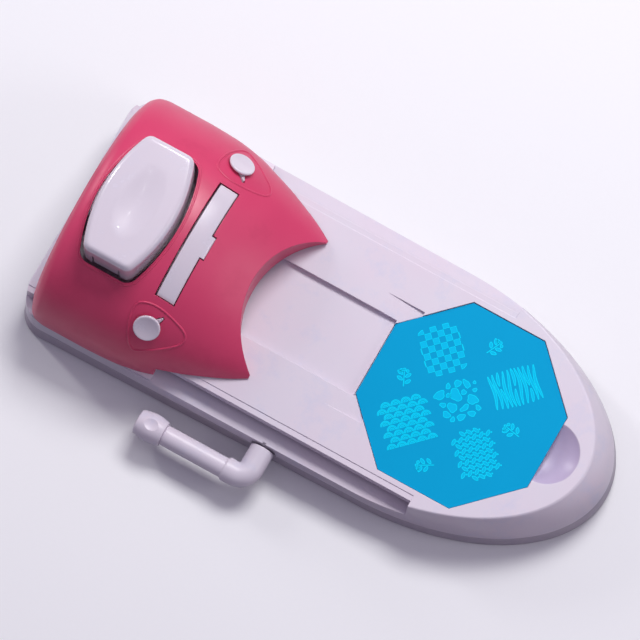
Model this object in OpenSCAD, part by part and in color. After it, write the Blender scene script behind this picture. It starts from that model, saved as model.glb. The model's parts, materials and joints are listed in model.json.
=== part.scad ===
// Manual nail stamping press: a sliding stamp carriage on a low base with a drop-in pattern plate.
// Lengths are millimetres. +X runs from the rear edge to the nose, +Y away from the lever, +Z up.
// The origin is the centre of the underside.

/* [Base] */
// Distance from the plate's front edge to the tip of the nose
nose_margin = 28; // [24:0.5:34]
// Width of the ledge on each side of the deck, at the underside
ledge_w = 7.3; // [7:0.1:8.4]
// Extra width of the underside at the rear end
rear_flare = 5.2; // [3:0.4:6]
// Height of the deck above the table
deck_h = 25; // [25:0.5:28]
// How much narrower the deck level is than the underside
side_draft = 1.8; // [1:0.2:2.4]
// Drop from the deck to the ledge beside it
ledge_drop = 8; // [7.6:0.1:8.4]
// Height of the joint between the upper shell and the tray
parting_h = 9; // [8:0.5:10]
// Wall thickness of the base mouldings
wall = 2.2; // [1.8:0.1:2.6]
// Radius of the two rear corners in plan
rear_corner_r = 11.5; // [8:0.5:14]
// Length of the elliptical nose at the underside
nose_len = 89; // [84:1:92]
// How far the nose leans back from the underside to the deck
nose_lean = 10.1; // [6:0.1:12]
// Bevel round the underside and half of the joint groove
edge_bevel = 0.8; // [0.4:0.1:1]

/* [Deck] */
// Width of the deck on each side of the plate
deck_margin = 5.1; // [4.8:0.1:5.6]
// Distance from the rear edge to the start of the guide slots under the deck's edges
slot_start = 3; // [2.5:0.5:4]
// How far a slot and its ledge run past the middle of the plate
slot_past_plate = 1.6; // [0:0.2:4]
// Width of the lowered strip along each deck edge
rebate_w = 2.5; // [1.5:0.5:3.5]
// Depth of the lowered strip
rebate_drop = 0.6; // [0.3:0.1:0.8]
// Width of the finger channel
channel_w = 36.4; // [34:0.2:38]
// Depth of the finger channel below the deck
channel_depth = 3.8; // [3:0.1:4.2]
// Width of the run-on ramp on each side of the channel
ramp_w = 8.4; // [6:0.2:10]
// Length of the run-on ramps
ramp_len = 17; // [10:0.5:20]
// Fall of the run-on ramps at the plate
ramp_drop = 1.3; // [0.8:0.1:1.4]

/* [Pattern plate] */
// Size of the octagonal plate across its flats
plate_af = 80; // [76:0.5:82]
// Thickness of the plate
plate_t = 1; // [0.8:0.1:1.2]
// Distance from the rear edge to the middle of the plate
plate_from_rear = 179; // [177:0.5:181]
// Depth of the plate's face below the deck
plate_drop = 0.5; // [0.3:0.1:0.7]
// Gap round the plate in its seat
plate_gap = 0.3; // [0.2:0.05:0.5]
// Radius of the thumb scoop at the deck
scoop_r = 13.5; // [11:0.5:15]
// Depth of the thumb scoop
scoop_depth = 4; // [3:0.1:4.2]

/* [Carriage] */
// Gap left in front of the runners at the front stop
end_gap = 4.6; // [4:0.1:8]
// Distance from the rear edge to the front end of the carriage's runners
runner_front = 62.6; // [60:0.2:64]
// Thickness of the runner blades that ride in the slots
blade_t = 1.2; // [1:0.1:1.4]
// Height of the cover's lower edge above the ledge
skirt_gap = 2; // [1.8:0.1:2.6]
// Wall thickness of the cover
cover_wall = 2.2; // [1.8:0.1:2.4]
// Radius of the concave front of the cover
front_arc_r = 39; // [37:0.5:40]
// Distance from the rear edge to the deepest point of the concave front
front_apex = 81.6; // [80:0.2:83]
// Height of the frame's bridge above the deck
bridge_rise = 14.8; // [14.4:0.1:15.2]
// Thickness of the frame's walls
frame_t = 2; // [1.6:0.1:2.2]
// Height of the relief lines on the cover
relief_h = 0.5; // [0.3:0.1:0.7]
// Width of the relief lines on the cover
relief_w = 1.2; // [0.8:0.1:1.6]

/* [Press cap] */
// Distance from the rear edge to the middle of the cap
cap_from_rear = 28.6; // [28:0.1:29.4]
// Length of the cap across the machine
cap_len = 55; // [53:0.5:57]
// Width of the cap in the middle
cap_mid_w = 33; // [31:0.5:33.5]
// Width of the cap at its two ends
cap_end_w = 21; // [19:0.5:23]
// Height of the cap's top above the deck
cap_rise = 45; // [44:0.5:47]
// Wall thickness of the cap
cap_wall = 2; // [1.6:0.1:2.4]
// Gap between the cap and the opening in the cover
cap_gap = 1.6; // [1.2:0.1:1.8]
// Travel of the cap when it is pressed
cap_travel = 8; // [6:0.5:8]
// Depth of the finger dimple in the cap
dimple_depth = 1.2; // [0.6:0.1:1.6]

/* [Stamp] */
// Distance from the rear edge to the middle of the stamp pad
pad_from_rear = 36; // [35.5:0.1:36.4]
// Length of the stamp pad along the machine
pad_len = 24; // [20:0.5:24]
// Width of the stamp pad across the machine
pad_w = 22; // [18:0.5:24]
// Thickness of the stamp pad
pad_t = 3; // [2:0.1:3]
// Radius of the plunger's round stem
stem_r = 8; // [6:0.1:8.4]

/* [Scraper] */
// Distance from the rear edge to the middle of the scraper's web
scraper_from_rear = 55.8; // [55.6:0.1:56]
// Length of the scraper strip across the machine
strip_len = 53; // [50:0.5:54]
// Width of the scraper strip
strip_w = 7.9; // [7.4:0.1:8]
// Width of the slot in the cover for the strip
strip_slot_w = 9.1; // [8.9:0.1:9.4]
// Width of the finger tab on the strip
tab_w = 10; // [8:0.5:12]
// How far the finger tab stands out of the strip
tab_out = 1.6; // [1:0.1:1.8]
// Thickness of the scraper blade
scraper_t = 0.8; // [0.5:0.1:1]

/* [Release buttons] */
// Distance from the rear edge to the middle of each button
button_from_rear = 54; // [53.5:0.1:55]
// Distance of each button from the middle of the machine
button_side = 38.3; // [38:0.1:39.2]
// Diameter of a button's head
button_d = 11.3; // [10:0.1:12]
// Thickness of a button's head
button_t = 1.3; // [1.2:0.1:2]
// Travel of a button when it is pressed
button_travel = 1; // [0.8:0.1:1.4]

/* [Lever and gears] */
// Distance from the base's side to the middle of the lever arm
lever_out = 15.2; // [13:0.2:17]
// Distance from the lever's axis to the end of its grip
lever_reach = 50.7; // [46:0.5:56]
// Diameter of the lever's elbow
elbow_d = 10.4; // [9:0.1:10.8]
// Diameter of the lever's arm
arm_d = 8.6; // [7:0.1:9]
// Diameter of the lever's grip
grip_d = 12.5; // [11.5:0.1:14]
// Length of the lever's grip
grip_len = 12.7; // [10:0.1:16]
// Radius of the lever's shaft
lever_shaft_r = 2.5; // [2.2:0.1:2.5]
// Radius of the two inner shafts
inner_shaft_r = 1.5; // [1.2:0.1:1.5]
// Width of the gears
gear_w = 4; // [3:0.5:4]
// Thickness of the rack's back above its teeth
rack_back = 1.4; // [1.2:0.1:1.8]

/* [Hidden] */
$fn = 64;

// Clearances: shaft in bore, sliding guide, part seated in a pocket
run_gap = 0.05;
slide_gap = 0.3;
seat_gap = 0.2;
eps = 0.01;
big = 400;

// Length and width of the base, and the height of what stands on it
base_len = plate_from_rear + plate_af / 2 + nose_margin;
rail_y = plate_af / 2 + deck_margin;
half_w = rail_y + ledge_w;
slot_end = plate_from_rear + slot_past_plate;
ledge_h = deck_h - ledge_drop;
bridge_h = deck_h + bridge_rise;
cap_h = deck_h + cap_rise;

// Distances from the rear edge, turned into X
function fx(d) = d - base_len / 2;
function sq(a) = a * a;

// ---- base forms ----
nose_steps = 40;
corner_steps = 6;
// Share of the lean that is reached at a height: the nose wall is convex
function lean(z) = pow(z / deck_h, 2.5);
function level_half_w(z) = half_w - side_draft / 2 * pow(z / deck_h, 1.5);
function level_tip(z) = base_len / 2 - nose_lean * lean(z);
// Plan outline of the base at a height, drawn in by an inset
function outline(z, inset) = let(
        w = level_half_w(z) - inset,
        tip = level_tip(z) - inset,
        rear = -base_len / 2 + inset,
        rear_w = w + rear_flare / 2 * (1 - z / deck_h),
        nose = nose_len - inset,
        r = rear_corner_r - inset / 2)
    concat(
        [for (i = [0 : corner_steps])
            let(a = 180 + 90 * i / corner_steps)
            [rear + r + r * cos(a), -rear_w + r + r * sin(a)]],
        [for (i = [0 : nose_steps])
            let(a = -90 + 180 * i / nose_steps)
            [tip - nose + nose * cos(a), w * sin(a)]],
        [for (i = [0 : corner_steps])
            let(a = 90 + 90 * i / corner_steps)
            [rear + r + r * cos(a), rear_w - r + r * sin(a)]]);

// Smooth solid through levels, each [height, inset]
module lofted(levels) {
    hull()
        for (l = levels)
            translate([0, 0, l[0]])
                linear_extrude(eps)
                    polygon(outline(l[0], l[1]));
}

module slab(x0, x1, y0, y1, z0, z1) {
    translate([x0, y0, z0])
        cube([x1 - x0, y1 - y0, z1 - z0]);
}

module both_sides() {
    children();
    mirror([0, 1, 0])
        children();
}

module along_y(x, z, y0, y1, r) {
    translate([x, y0, z])
        rotate([-90, 0, 0])
            cylinder(r = r, h = y1 - y0);
}

// ---- levels under the deck ----
channel_floor = deck_h - channel_depth;
floor_t = 1.7;
under_gap = 0.4;
sledge_t = 3;
sledge_top = channel_floor - floor_t - under_gap;
sledge_bottom = sledge_top - sledge_t;
plate_z = deck_h - plate_drop - plate_t;
tray_floor = 2;

// ---- travel: as far as the slots and a rack that stays inside the base allow ----
rack_end_room = 1.6;
rack_overrun = 6;
rack_start = wall + rack_end_room;
slot_travel = slot_end - runner_front - end_gap;
rack_travel = (base_len - 2 * rack_start - rack_overrun - 6.6) / 2;
travel = min(slot_travel, rack_travel);

// ---- screws that hold the tray ----
screw_r = 0.9;
screw_head_r = 1.7;
screw_head_t = 1.2;
screw_pocket = 3.4;
screw_boss_r = 2;
screw_len = 10;

module octagon(af) {
    circle(d = af / cos(22.5), $fn = 8);
}

module plate_outline(af) {
    rotate(22.5)
        octagon(af);
}

// ---- gear train: the module is the largest whole hundredth that fits under the sledge ----
pressure = 25;
wheel_n = 30;
small_n = 10;
pinion_n = 15;
tip_share = 0.9;
root_share = 1.15;
tooth_slack = 0.06;
flank_steps = 4;
gear_gap = 0.7;
sledge_web = 1.25;
gear_room = sledge_top - sledge_web - rack_back - tray_floor - gear_gap;
gear_m = floor(100 * gear_room / (wheel_n / 2 + tip_share + pinion_n / 2 + root_share)) / 100;
lever_h = tray_floor + gear_gap + gear_m * (wheel_n / 2 + tip_share);
wheel_r = gear_m * wheel_n / 2;
small_r = gear_m * small_n / 2;
pinion_r = gear_m * pinion_n / 2;
gear_centres = wheel_r + small_r;
// The lever's axis is where the rack's last tooth arrives
last_tooth_past = 1.2;
lever_x = fx(rack_start + travel - last_tooth_past);
ledge_screw_in = 2.4;
tray_screw_at = [for (p = [[fx(20), half_w - ledge_screw_in], [lever_x - 16, half_w - ledge_screw_in],
    [fx(slot_end + 9.4), half_w - 16.4], [fx(base_len - 19), scoop_r + 0.5]], s = [-1, 1])
    [p[0], s * p[1]]];
counter_x = lever_x - gear_centres;
// Travel of the rack for each radian of the lever
rack_per_lever = sq(wheel_n / small_n) * pinion_r;
lever_swing = travel / rack_per_lever * 180 / PI;
echo(travel = travel, gear_m = gear_m, lever_x = lever_x, lever_h = lever_h, counter_x = counter_x);
echo(rack_per_lever = rack_per_lever, lever_swing = lever_swing);

// Places of the gears and bearings across the base
post_t = 2.5;
post_1_y = -rail_y + wall + 0.3;
stage_1_y = post_1_y + post_t + 2.5;
stage_2_y = stage_1_y + gear_w + 3;
post_2_y = stage_2_y + gear_w + 2.5;
pinion_y = -3;
pinion_w = 6;
post_3_y = 6;
post_top = sledge_bottom - 0.6;

function inv(a) = tan(a) - a * PI / 180;
// Half the angle that a tooth takes at a radius, in degrees
function tooth_half(n, r) = let(
        pitch_r = gear_m * n / 2,
        base_r = pitch_r * cos(pressure),
        a = r > base_r ? acos(base_r / r) : 0)
    90 / n - tooth_slack / pitch_r * 180 / PI + (inv(pressure) - inv(a)) * 180 / PI;

// Involute gear outline with a tooth, or a gap, centred at an angle
module gear_outline(n, at) {
    pitch_r = gear_m * n / 2;
    root_r = pitch_r - root_share * gear_m;
    tip_r = pitch_r + tip_share * gear_m;
    start_r = max(root_r, pitch_r * cos(pressure));
    radii = concat([root_r], [for (i = [0 : flank_steps]) start_r + (tip_r - start_r) * i / flank_steps]);
    last = len(radii) - 1;
    polygon([for (k = [0 : n - 1], side = [-1, 1], i = [0 : last])
        let(r = radii[side < 0 ? i : last - i], a = at + 360 * k / n + side * tooth_half(n, r))
        r * [cos(a), sin(a)]]);
}

module gear(n, x, z, y0, w, at, bore_r) {
    translate([x, y0 + w, z])
        rotate([90, 0, 0])
            linear_extrude(w)
                difference() {
                    gear_outline(n, at);
                    circle(r = bore_r);
                }
}

// ---- base mouldings ----
bush_r = 4.2;
bush_flange_r = 5.2;
bush_flange_t = 1;
// Flat that is cut into the side wall for the bush's flange
bush_seat_y = -half_w + 1;

module shaft_bore_in_wall() {
    along_y(lever_x, lever_h, -half_w - 5, -half_w + 5, bush_r);
    along_y(lever_x, lever_h, -half_w - 5, bush_seat_y, bush_flange_r + seat_gap);
}

module scoop() {
    dish_r = (sq(scoop_r) + sq(scoop_depth)) / (2 * scoop_depth);
    translate([fx(plate_from_rear) + plate_af / 2, 0, deck_h - scoop_depth + dish_r])
        sphere(r = dish_r, $fn = 96);
}

// Material that stays inside the upper shell: trough, plate seat, ledges, deck edges and bosses
module shell_inner_walls() {
    slab(fx(0), fx(plate_from_rear - plate_af / 2 + 2), -channel_w / 2 - floor_t, channel_w / 2 + floor_t,
        channel_floor - floor_t, deck_h);
    translate([fx(plate_from_rear), 0, plate_z - floor_t])
        linear_extrude(deck_h - plate_z + floor_t)
            plate_outline(plate_af + 2 * plate_gap + 4);
    intersection() {
        slab(fx(plate_from_rear), fx(base_len - 4), -scoop_r - floor_t, scoop_r + floor_t,
            deck_h - scoop_depth - floor_t, deck_h);
        translate([fx(plate_from_rear) + plate_af / 2, 0, 0])
            cylinder(r = scoop_r + floor_t, h = deck_h);
    }
    both_sides() {
        slab(fx(0), fx(slot_end) + wall, rail_y - wall, half_w, ledge_h - ledge_t, ledge_h);
        slab(fx(0), fx(slot_end) + wall, rail_y - wall, rail_y, slot_roof, deck_h);
        slab(fx(slot_end), fx(slot_end) + wall, rail_y - wall, half_w, ledge_h - ledge_t, deck_h);
        slab(fx(0), fx(slot_start), rail_y - wall, rail_y, ledge_h - ledge_t, deck_h);
    }
    for (p = tray_screw_at)
        translate([p[0], p[1], parting_h])
            cylinder(r = screw_boss_r, h = (abs(p[1]) > rail_y ? ledge_h : deck_h) - parting_h - 1);
}

ledge_t = 1.6;
slot_roof = sledge_top + under_gap;

module base_shell() {
    color("#DED2E2")
        difference() {
            lofted([[parting_h, edge_bevel / 2], [parting_h + edge_bevel / 2, 0], [13, 0], [ledge_h, 0],
                [20, 0], [22.5, 0], [deck_h - 0.7, 0], [deck_h - eps, 0.6]]);
            difference() {
                lofted([[parting_h - 1, wall], [parting_h + 1, wall], [ledge_h, wall],
                    [deck_h - wall, wall]]);
                shell_inner_walls();
            }
            // Ledges beside the deck; the guide slots open into them under the deck's edges
            both_sides() {
                slab(fx(-1), fx(slot_end), rail_y, half_w + 5, ledge_h, deck_h + 1);
                slab(fx(-1), fx(slot_end) + eps, rail_y - rebate_w, rail_y + 1, deck_h - rebate_drop,
                    deck_h + 1);
            }
            // Finger channel and the ramps beside it
            slab(fx(-1), fx(plate_from_rear - plate_af / 2 - plate_gap), -channel_w / 2, channel_w / 2,
                channel_floor, deck_h + 1);
            ramps();
            // Seat of the pattern plate and the thumb scoop
            translate([fx(plate_from_rear), 0, plate_z])
                linear_extrude(deck_h)
                    plate_outline(plate_af + 2 * plate_gap);
            scoop();
            shaft_bore_in_wall();
            for (p = tray_screw_at)
                translate([p[0], p[1], parting_h - 1])
                    cylinder(r = screw_r, h = screw_pocket + screw_len - parting_h + 2);
        }
}

module ramps() {
    ramp_end = plate_from_rear - plate_af / 2 + 8;
    both_sides()
        translate([0, channel_w / 2 + ramp_w, 0])
            rotate([90, 0, 0])
                linear_extrude(ramp_w + 1)
                    polygon([[fx(ramp_end - ramp_len), deck_h], [fx(ramp_end), deck_h - ramp_drop],
                        [fx(ramp_end), deck_h + 1], [fx(ramp_end - ramp_len), deck_h + 1]]);
}

// Upright bearing plate across the base, with its bores given as [x, radius]
module bearing_post(y0, x0, x1, top, bores) {
    difference() {
        slab(x0, x1, y0, y0 + post_t, tray_floor - eps, top);
        for (b = bores)
            along_y(b[0], lever_h, y0 - 1, y0 + post_t + 1, b[1] + run_gap);
    }
}

module tray_pillar() {
    cylinder(r = 3.3, h = parting_h);
}

module base_tray() {
    color("#C9BFCD")
        difference() {
            union() {
                difference() {
                    lofted([[0, edge_bevel], [edge_bevel, 0], [4, 0], [parting_h - edge_bevel / 2, 0],
                        [parting_h - eps, edge_bevel / 2]]);
                    difference() {
                        lofted([[tray_floor, wall], [parting_h + 1, wall]]);
                        for (p = tray_screw_at)
                            translate([p[0], p[1], 0])
                                tray_pillar();
                    }
                }
                bearing_post(post_1_y, counter_x - 5, lever_x + 6, lever_h + 5,
                    [[lever_x, lever_shaft_r], [counter_x, inner_shaft_r]]);
                bearing_post(post_2_y, counter_x - 5, lever_x + 6, lever_h + 3.6,
                    [[lever_x, inner_shaft_r], [counter_x, inner_shaft_r]]);
                bearing_post(post_3_y, lever_x - 5, lever_x + 6, post_top, [[lever_x, inner_shaft_r]]);
                // Ribs that stiffen the floor
                for (x = [lever_x - 46, lever_x + 34, fx(slot_end + 20)])
                    slab(x, x + 1.6, -30, 30, tray_floor - eps, tray_floor + 3);
            }
            shaft_bore_in_wall();
            for (p = tray_screw_at)
                translate([p[0], p[1], -1]) {
                    cylinder(r = screw_head_r + 0.3, h = screw_pocket + 1);
                    cylinder(r = screw_r + 0.2, h = parting_h + 2);
                }
        }
}

module cross_recess(size) {
    for (a = [0, 90])
        rotate(a)
            cube([size, size / 4, size * 0.6], center = true);
}

// Screw that points up, with the underside of its head at the origin
module screw(r, len, head_r, head_t) {
    difference() {
        union() {
            cylinder(r = r, h = len, $fn = 24);
            translate([0, 0, -head_t])
                cylinder(r1 = head_r * 0.8, r2 = head_r, h = head_t, $fn = 32);
        }
        translate([0, 0, -head_t])
            cross_recess(head_r * 1.2);
    }
}

module tray_screws() {
    color("silver")
        for (p = tray_screw_at)
            translate([p[0], p[1], screw_pocket])
                screw(screw_r, screw_len, screw_head_r, screw_head_t);
}

module pattern_plate() {
    color("#00A3D6")
        translate([fx(plate_from_rear), 0, plate_z])
            linear_extrude(plate_t)
                plate_outline(plate_af);
}

// ---- lever and gear train ----
bush_y1 = bush_seat_y + 3.6;
arm_y = -half_w - lever_out;

module shaft_bush() {
    color("#B9AFC0")
        difference() {
            union() {
                along_y(lever_x, lever_h, bush_seat_y - eps, bush_y1, bush_r);
                along_y(lever_x, lever_h, bush_seat_y - bush_flange_t, bush_seat_y, bush_flange_r);
            }
            along_y(lever_x, lever_h, bush_seat_y - 5, bush_y1 + 1, lever_shaft_r + run_gap);
        }
}

module lever_shaft() {
    color("silver")
        difference() {
            along_y(lever_x, lever_h, arm_y, stage_1_y + gear_w + 0.8, lever_shaft_r);
            slab(lever_x - 5, lever_x + 5, stage_1_y, stage_1_y + gear_w + 2,
                lever_h + lever_shaft_r * 0.7, lever_h + 5);
        }
}

module lever_arm() {
    sleeve_len = 9;
    color("#DED2E2")
        difference() {
            union() {
                along_y(lever_x, lever_h, arm_y, bush_seat_y - bush_flange_t - 0.8, elbow_d / 2);
                translate([lever_x, arm_y, lever_h])
                    sphere(d = elbow_d);
                translate([lever_x, arm_y, lever_h])
                    rotate([0, -90, 0]) {
                        cylinder(d = elbow_d, h = sleeve_len);
                        translate([0, 0, sleeve_len])
                            cylinder(d1 = elbow_d, d2 = arm_d, h = 0.8);
                        cylinder(d = arm_d, h = lever_reach - grip_len);
                        cylinder(d = arm_d * 0.6, h = lever_reach - grip_len + grip_len * 0.6);
                    }
            }
            along_y(lever_x, lever_h, arm_y, 0, lever_shaft_r);
        }
}

module lever_grip() {
    r = grip_d / 2;
    crown = 0.9;
    crown_r = (sq(r - 1) + sq(crown)) / (2 * crown);
    color("#DED2E2")
        difference() {
            translate([lever_x - lever_reach + grip_len, arm_y, lever_h])
                rotate([0, -90, 0])
                    rotate_extrude()
                        difference() {
                            union() {
                                translate([0, 1.2])
                                    square([r, grip_len - 1.2 - crown - 1]);
                                square([r - 0.9, grip_len - crown]);
                                intersection() {
                                    translate([0, grip_len - crown_r])
                                        circle(r = crown_r, $fn = 128);
                                    translate([0, grip_len - crown - 1])
                                        square([r - 0.9, crown + 1]);
                                }
                            }
                            translate([-1, -1])
                                square([arm_d * 0.3 + 1, grip_len * 0.6 + 1]);
                        }
            // Oval thumb flat on the grip
            translate([lever_x - lever_reach + grip_len * 0.55, arm_y, lever_h + r + 9])
                sphere(r = 9.8, $fn = 64);
        }
}

module lever_gear() {
    color("#EFEAF2")
        difference() {
            gear(wheel_n, lever_x, lever_h, stage_1_y, gear_w, 180, 0);
            difference() {
                along_y(lever_x, lever_h, stage_1_y - 1, stage_1_y + gear_w + 1, lever_shaft_r);
                slab(lever_x - 5, lever_x + 5, stage_1_y - 2, stage_1_y + gear_w + 2,
                    lever_h + lever_shaft_r * 0.7, lever_h + 5);
            }
        }
}

module counter_shaft() {
    color("silver")
        along_y(counter_x, lever_h, post_1_y - 0.5, post_2_y + post_t + 0.5, inner_shaft_r);
}

module counter_gear() {
    color("#EFEAF2") {
        gear(small_n, counter_x, lever_h, stage_1_y - 1, stage_2_y - stage_1_y + 1, 18, inner_shaft_r);
        gear(wheel_n, counter_x, lever_h, stage_2_y, gear_w, 0, inner_shaft_r);
    }
}

module output_shaft() {
    color("silver")
        along_y(lever_x, lever_h, stage_2_y - 1, post_3_y + post_t + 0.5, inner_shaft_r);
}

module output_gear() {
    color("#EFEAF2")
        gear(small_n, lever_x, lever_h, stage_2_y - 0.5, gear_w + 1, 18, inner_shaft_r);
}

module rack_pinion() {
    color("#EFEAF2")
        gear(pinion_n, lever_x, lever_h, pinion_y, pinion_w, 90, inner_shaft_r);
}

// ---- carriage under the deck ----
rack_y = 3.4;
rack_pitch = PI * gear_m;
rack_line = lever_h + pinion_r;
rack_tip = rack_line - tip_share * gear_m;
rack_root = rack_line + root_share * gear_m;
rack_top = rack_root + rack_back;
// The rack must still be in mesh at both ends of the travel
rack_rear = lever_x - travel + last_tooth_past;
rack_teeth = ceil((travel + rack_overrun) / rack_pitch);
sledge_rear = fx(8);
// The part of the sledge and of the frame that reaches through the guide slots
arm_z = ledge_h + 0.2;
// Tabs of the sledge that fill windows in the blade, as distances from the rear edge
tab_at = [16, 42];
tab_len = 12;
blade_y0 = rail_y + slide_gap;
blade_y1 = blade_y0 + blade_t;

module drive_rack() {
    gap = rack_pitch / 2 + 2 * tooth_slack;
    draft = tan(pressure);
    first = lever_x - floor((lever_x - rack_rear) / rack_pitch) * rack_pitch;
    last = first + rack_teeth * rack_pitch;
    half_tip = gap / 2 + (rack_line - rack_tip) * draft;
    half_root = gap / 2 - (rack_root - rack_line) * draft;
    color("#EFEAF2")
        difference() {
            slab(first, last, -rack_y, rack_y, rack_tip, rack_top);
            translate([0, rack_y + 1, 0])
                rotate([90, 0, 0])
                    linear_extrude(2 * rack_y + 2)
                        for (i = [0 : rack_teeth])
                            translate([first + i * rack_pitch, 0])
                                polygon([[-half_tip - draft, rack_tip - 1], [half_tip + draft, rack_tip - 1],
                                    [half_root, rack_root], [-half_root, rack_root]]);
        }
}

module sledge() {
    color("#C9BFCD")
        difference() {
            union() {
                slab(sledge_rear, fx(runner_front), -channel_w / 2, rail_y - wall - slide_gap, sledge_bottom,
                    sledge_top);
                slab(sledge_rear, fx(runner_front), 0, blade_y0, arm_z, sledge_top);
                for (x = tab_at)
                    slab(fx(x), fx(x + tab_len), blade_y0 - 1, blade_y1, arm_z, sledge_top);
            }
            // Groove that holds the rack, and lightening windows
            slab(sledge_rear - 1, fx(runner_front) + 1, -rack_y, rack_y, sledge_bottom - 1, rack_top);
            for (x = [14, 38], y = [-channel_w / 2 + 3, 8, 25])
                slab(fx(x), fx(x + 16), y, y + 9, sledge_bottom - 1, sledge_top + 1);
        }
}

// ---- cover surface ----
skirt_z = ledge_h + skirt_gap;
cover_overhang = 1.1;
cover_top = bridge_h + 21.2;
// Stations of the cover: distance from the rear, then how far the side and the crown are drawn in,
// and the roundness
stations = [[4.6, 7, 6, 2], [6.4, 3, 2.8, 2], [9.5, 0.7, 1, 2], [14, 0, 0.3, 2], [30, 0, 0, 2], [44, 0.5, 0.8, 2],
    [56, 2.3, 3.3, 2], [66, 5.3, 7.6, 2.05], [74, 8.1, 12, 2.2], [82, 11.3, 17, 2.3], [90, 14.7, 21.8, 2.45],
    [98, 18.7, 26.6, 2.6]];
function column(c) = [for (s = stations) [s[0], s[c]]];
function cover_half_w(x) = half_w + cover_overhang - lookup(x, column(1));
function cover_crown(x) = cover_top - skirt_z - lookup(x, column(2));
function cover_round(x) = lookup(x, column(3));
function arch(t, n) = pow(max(0, 1 - pow(abs(t), n)), 1 / n);
// Height of the cover's outer surface
function cover_z(x, y) = skirt_z + cover_crown(x) * arch(y / cover_half_w(x), cover_round(x));

// Cross-section of the cover at a station, drawn in by an inset, as points in Y and Z
section_steps = 28;
function section(x, inset, below) = let(
        w = cover_half_w(x) - inset,
        h = cover_crown(x) - inset,
        n = cover_round(x))
    concat([[w, -below]],
        [for (i = [0 : section_steps])
            let(a = 180 * i / section_steps, t = cos(a))
            [w * t, h * arch(t, n)]],
        [[-w, -below]]);

module section_slice(x, inset, below, t) {
    translate([fx(x), 0, skirt_z])
        rotate([90, 0, 90])
            linear_extrude(t)
                polygon(section(x, inset, below));
}

module cover_form(inset, rear, below) {
    hull() {
        for (s = stations)
            section_slice(s[0], inset, below, eps);
        translate([-rear, 0, 0])
            section_slice(stations[0][0], inset, below, eps);
    }
}

front_centre = fx(front_apex + front_arc_r);
module front_cylinder(r) {
    translate([front_centre, 0, 0])
        cylinder(r = r, h = big, $fn = 128);
}

// Plan of the press cap: bulging long sides, straight ends and rounded corners
cap_corner = 4;
module cap_plan(grow) {
    rise = (cap_mid_w - cap_end_w) / 2;
    r = (sq(cap_len / 2) + sq(rise)) / (2 * rise);
    translate([fx(cap_from_rear), 0])
        offset(r = cap_corner + grow, $fn = 40)
            offset(delta = -cap_corner)
                intersection() {
                    translate([cap_mid_w / 2 - r, 0])
                        circle(r = r, $fn = 320);
                    translate([r - cap_mid_w / 2, 0])
                        circle(r = r, $fn = 320);
                    square([cap_mid_w, cap_len], center = true);
                }
}

// ---- placing the release buttons square to the cover ----
button_p = [fx(button_from_rear), button_side, cover_z(button_from_rear, button_side)];
slope_step = 1.5;
button_slope_x = (cover_z(button_from_rear + slope_step, button_side)
    - cover_z(button_from_rear - slope_step, button_side)) / (2 * slope_step);
button_slope_y = (cover_z(button_from_rear, button_side + slope_step)
    - cover_z(button_from_rear, button_side - slope_step)) / (2 * slope_step);
button_n = [-button_slope_x, -button_slope_y, 1] / norm([button_slope_x, button_slope_y, 1]);
echo(button_axis = button_n, button_at = button_p);
button_stem_r = 3.5;
key_reach = 7.4;

module at_button() {
    translate(button_p)
        rotate([-asin(button_n[1]), atan2(button_n[0], button_n[2]), 0])
            children();
}

module key_plan(grow) {
    rotate(-60)
        polygon([[0, -2.4 - grow], [key_reach + grow, -0.2 - grow], [key_reach + grow, 0.2 + grow],
            [0, 2.4 + grow]]);
}

// Rounded triangle round each button
module pick_plan(grow) {
    hull()
        for (p = [[-4.3, -3.4], [0.6, 5.8], [12.9, -2.6]])
            translate(p)
                circle(r = 3.2 + grow, $fn = 32);
}

module relief_plan() {
    difference() {
        cap_plan(cap_gap + relief_w + 0.4);
        cap_plan(cap_gap + 0.4);
    }
    both_sides()
        translate([fx(button_from_rear), button_side])
            difference() {
                pick_plan(0);
                pick_plan(-relief_w);
            }
}

cover_screw_len = 6.5;
cover_screw_at = [[fx(14.5), 31], [fx(14.5), -31], [fx(60.2), 31.5], [fx(60.2), -31.5]];

module cover() {
    rear_end = stations[0][0];
    strip_x0 = scraper_from_rear - strip_slot_w / 2 - 0.25;
    color("#D6527A")
        difference() {
            union() {
                difference() {
                    cover_form(0, 0, 0);
                    difference() {
                        cover_form(cover_wall, 5, 1);
                        front_cylinder(front_arc_r + cover_wall);
                        for (p = cover_screw_at)
                            translate([p[0], p[1], bridge_h])
                                cylinder(r = 3, h = big);
                    }
                }
                intersection() {
                    difference() {
                        cover_form(-relief_h, 0, 0);
                        cover_form(cover_wall / 2, 0, 5);
                    }
                    linear_extrude(big)
                        relief_plan();
                }
            }
            front_cylinder(front_arc_r);
            // Room over the deck and the runners
            slab(fx(rear_end - 10), fx(110), -blade_y1 - slide_gap, blade_y1 + slide_gap, 0, deck_h + 0.8);
            slab(fx(runner_front), fx(110), -half_w - 5, half_w + 5, 0, deck_h + 0.8);
            // Opening for the press cap
            linear_extrude(big)
                cap_plan(cap_gap);
            // Slot for the scraper, with its tab notch
            slab(fx(strip_x0), fx(strip_x0 + strip_slot_w), -strip_len / 2 - 0.5, strip_len / 2 + 0.5,
                bridge_h, big);
            slab(fx(strip_x0 + 1), fx(strip_x0 + strip_slot_w) + tab_out, -tab_w / 2 - 0.6,
                tab_w / 2 + 0.6, bridge_h, big);
            both_sides()
                at_button() {
                    translate([0, 0, -8])
                        cylinder(r = button_stem_r + 0.2, h = 20);
                    translate([0, 0, -6])
                        linear_extrude(12)
                            key_plan(0.35);
                    // Spot-face in the relief line under the head
                    translate([0, 0, 0.12])
                        cylinder(d = button_d + 0.8, h = 3);
                }
            for (p = cover_screw_at)
                translate([p[0], p[1], 0])
                    cylinder(r = screw_r, h = bridge_h - frame_t + cover_screw_len + 0.7);
        }
}

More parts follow.
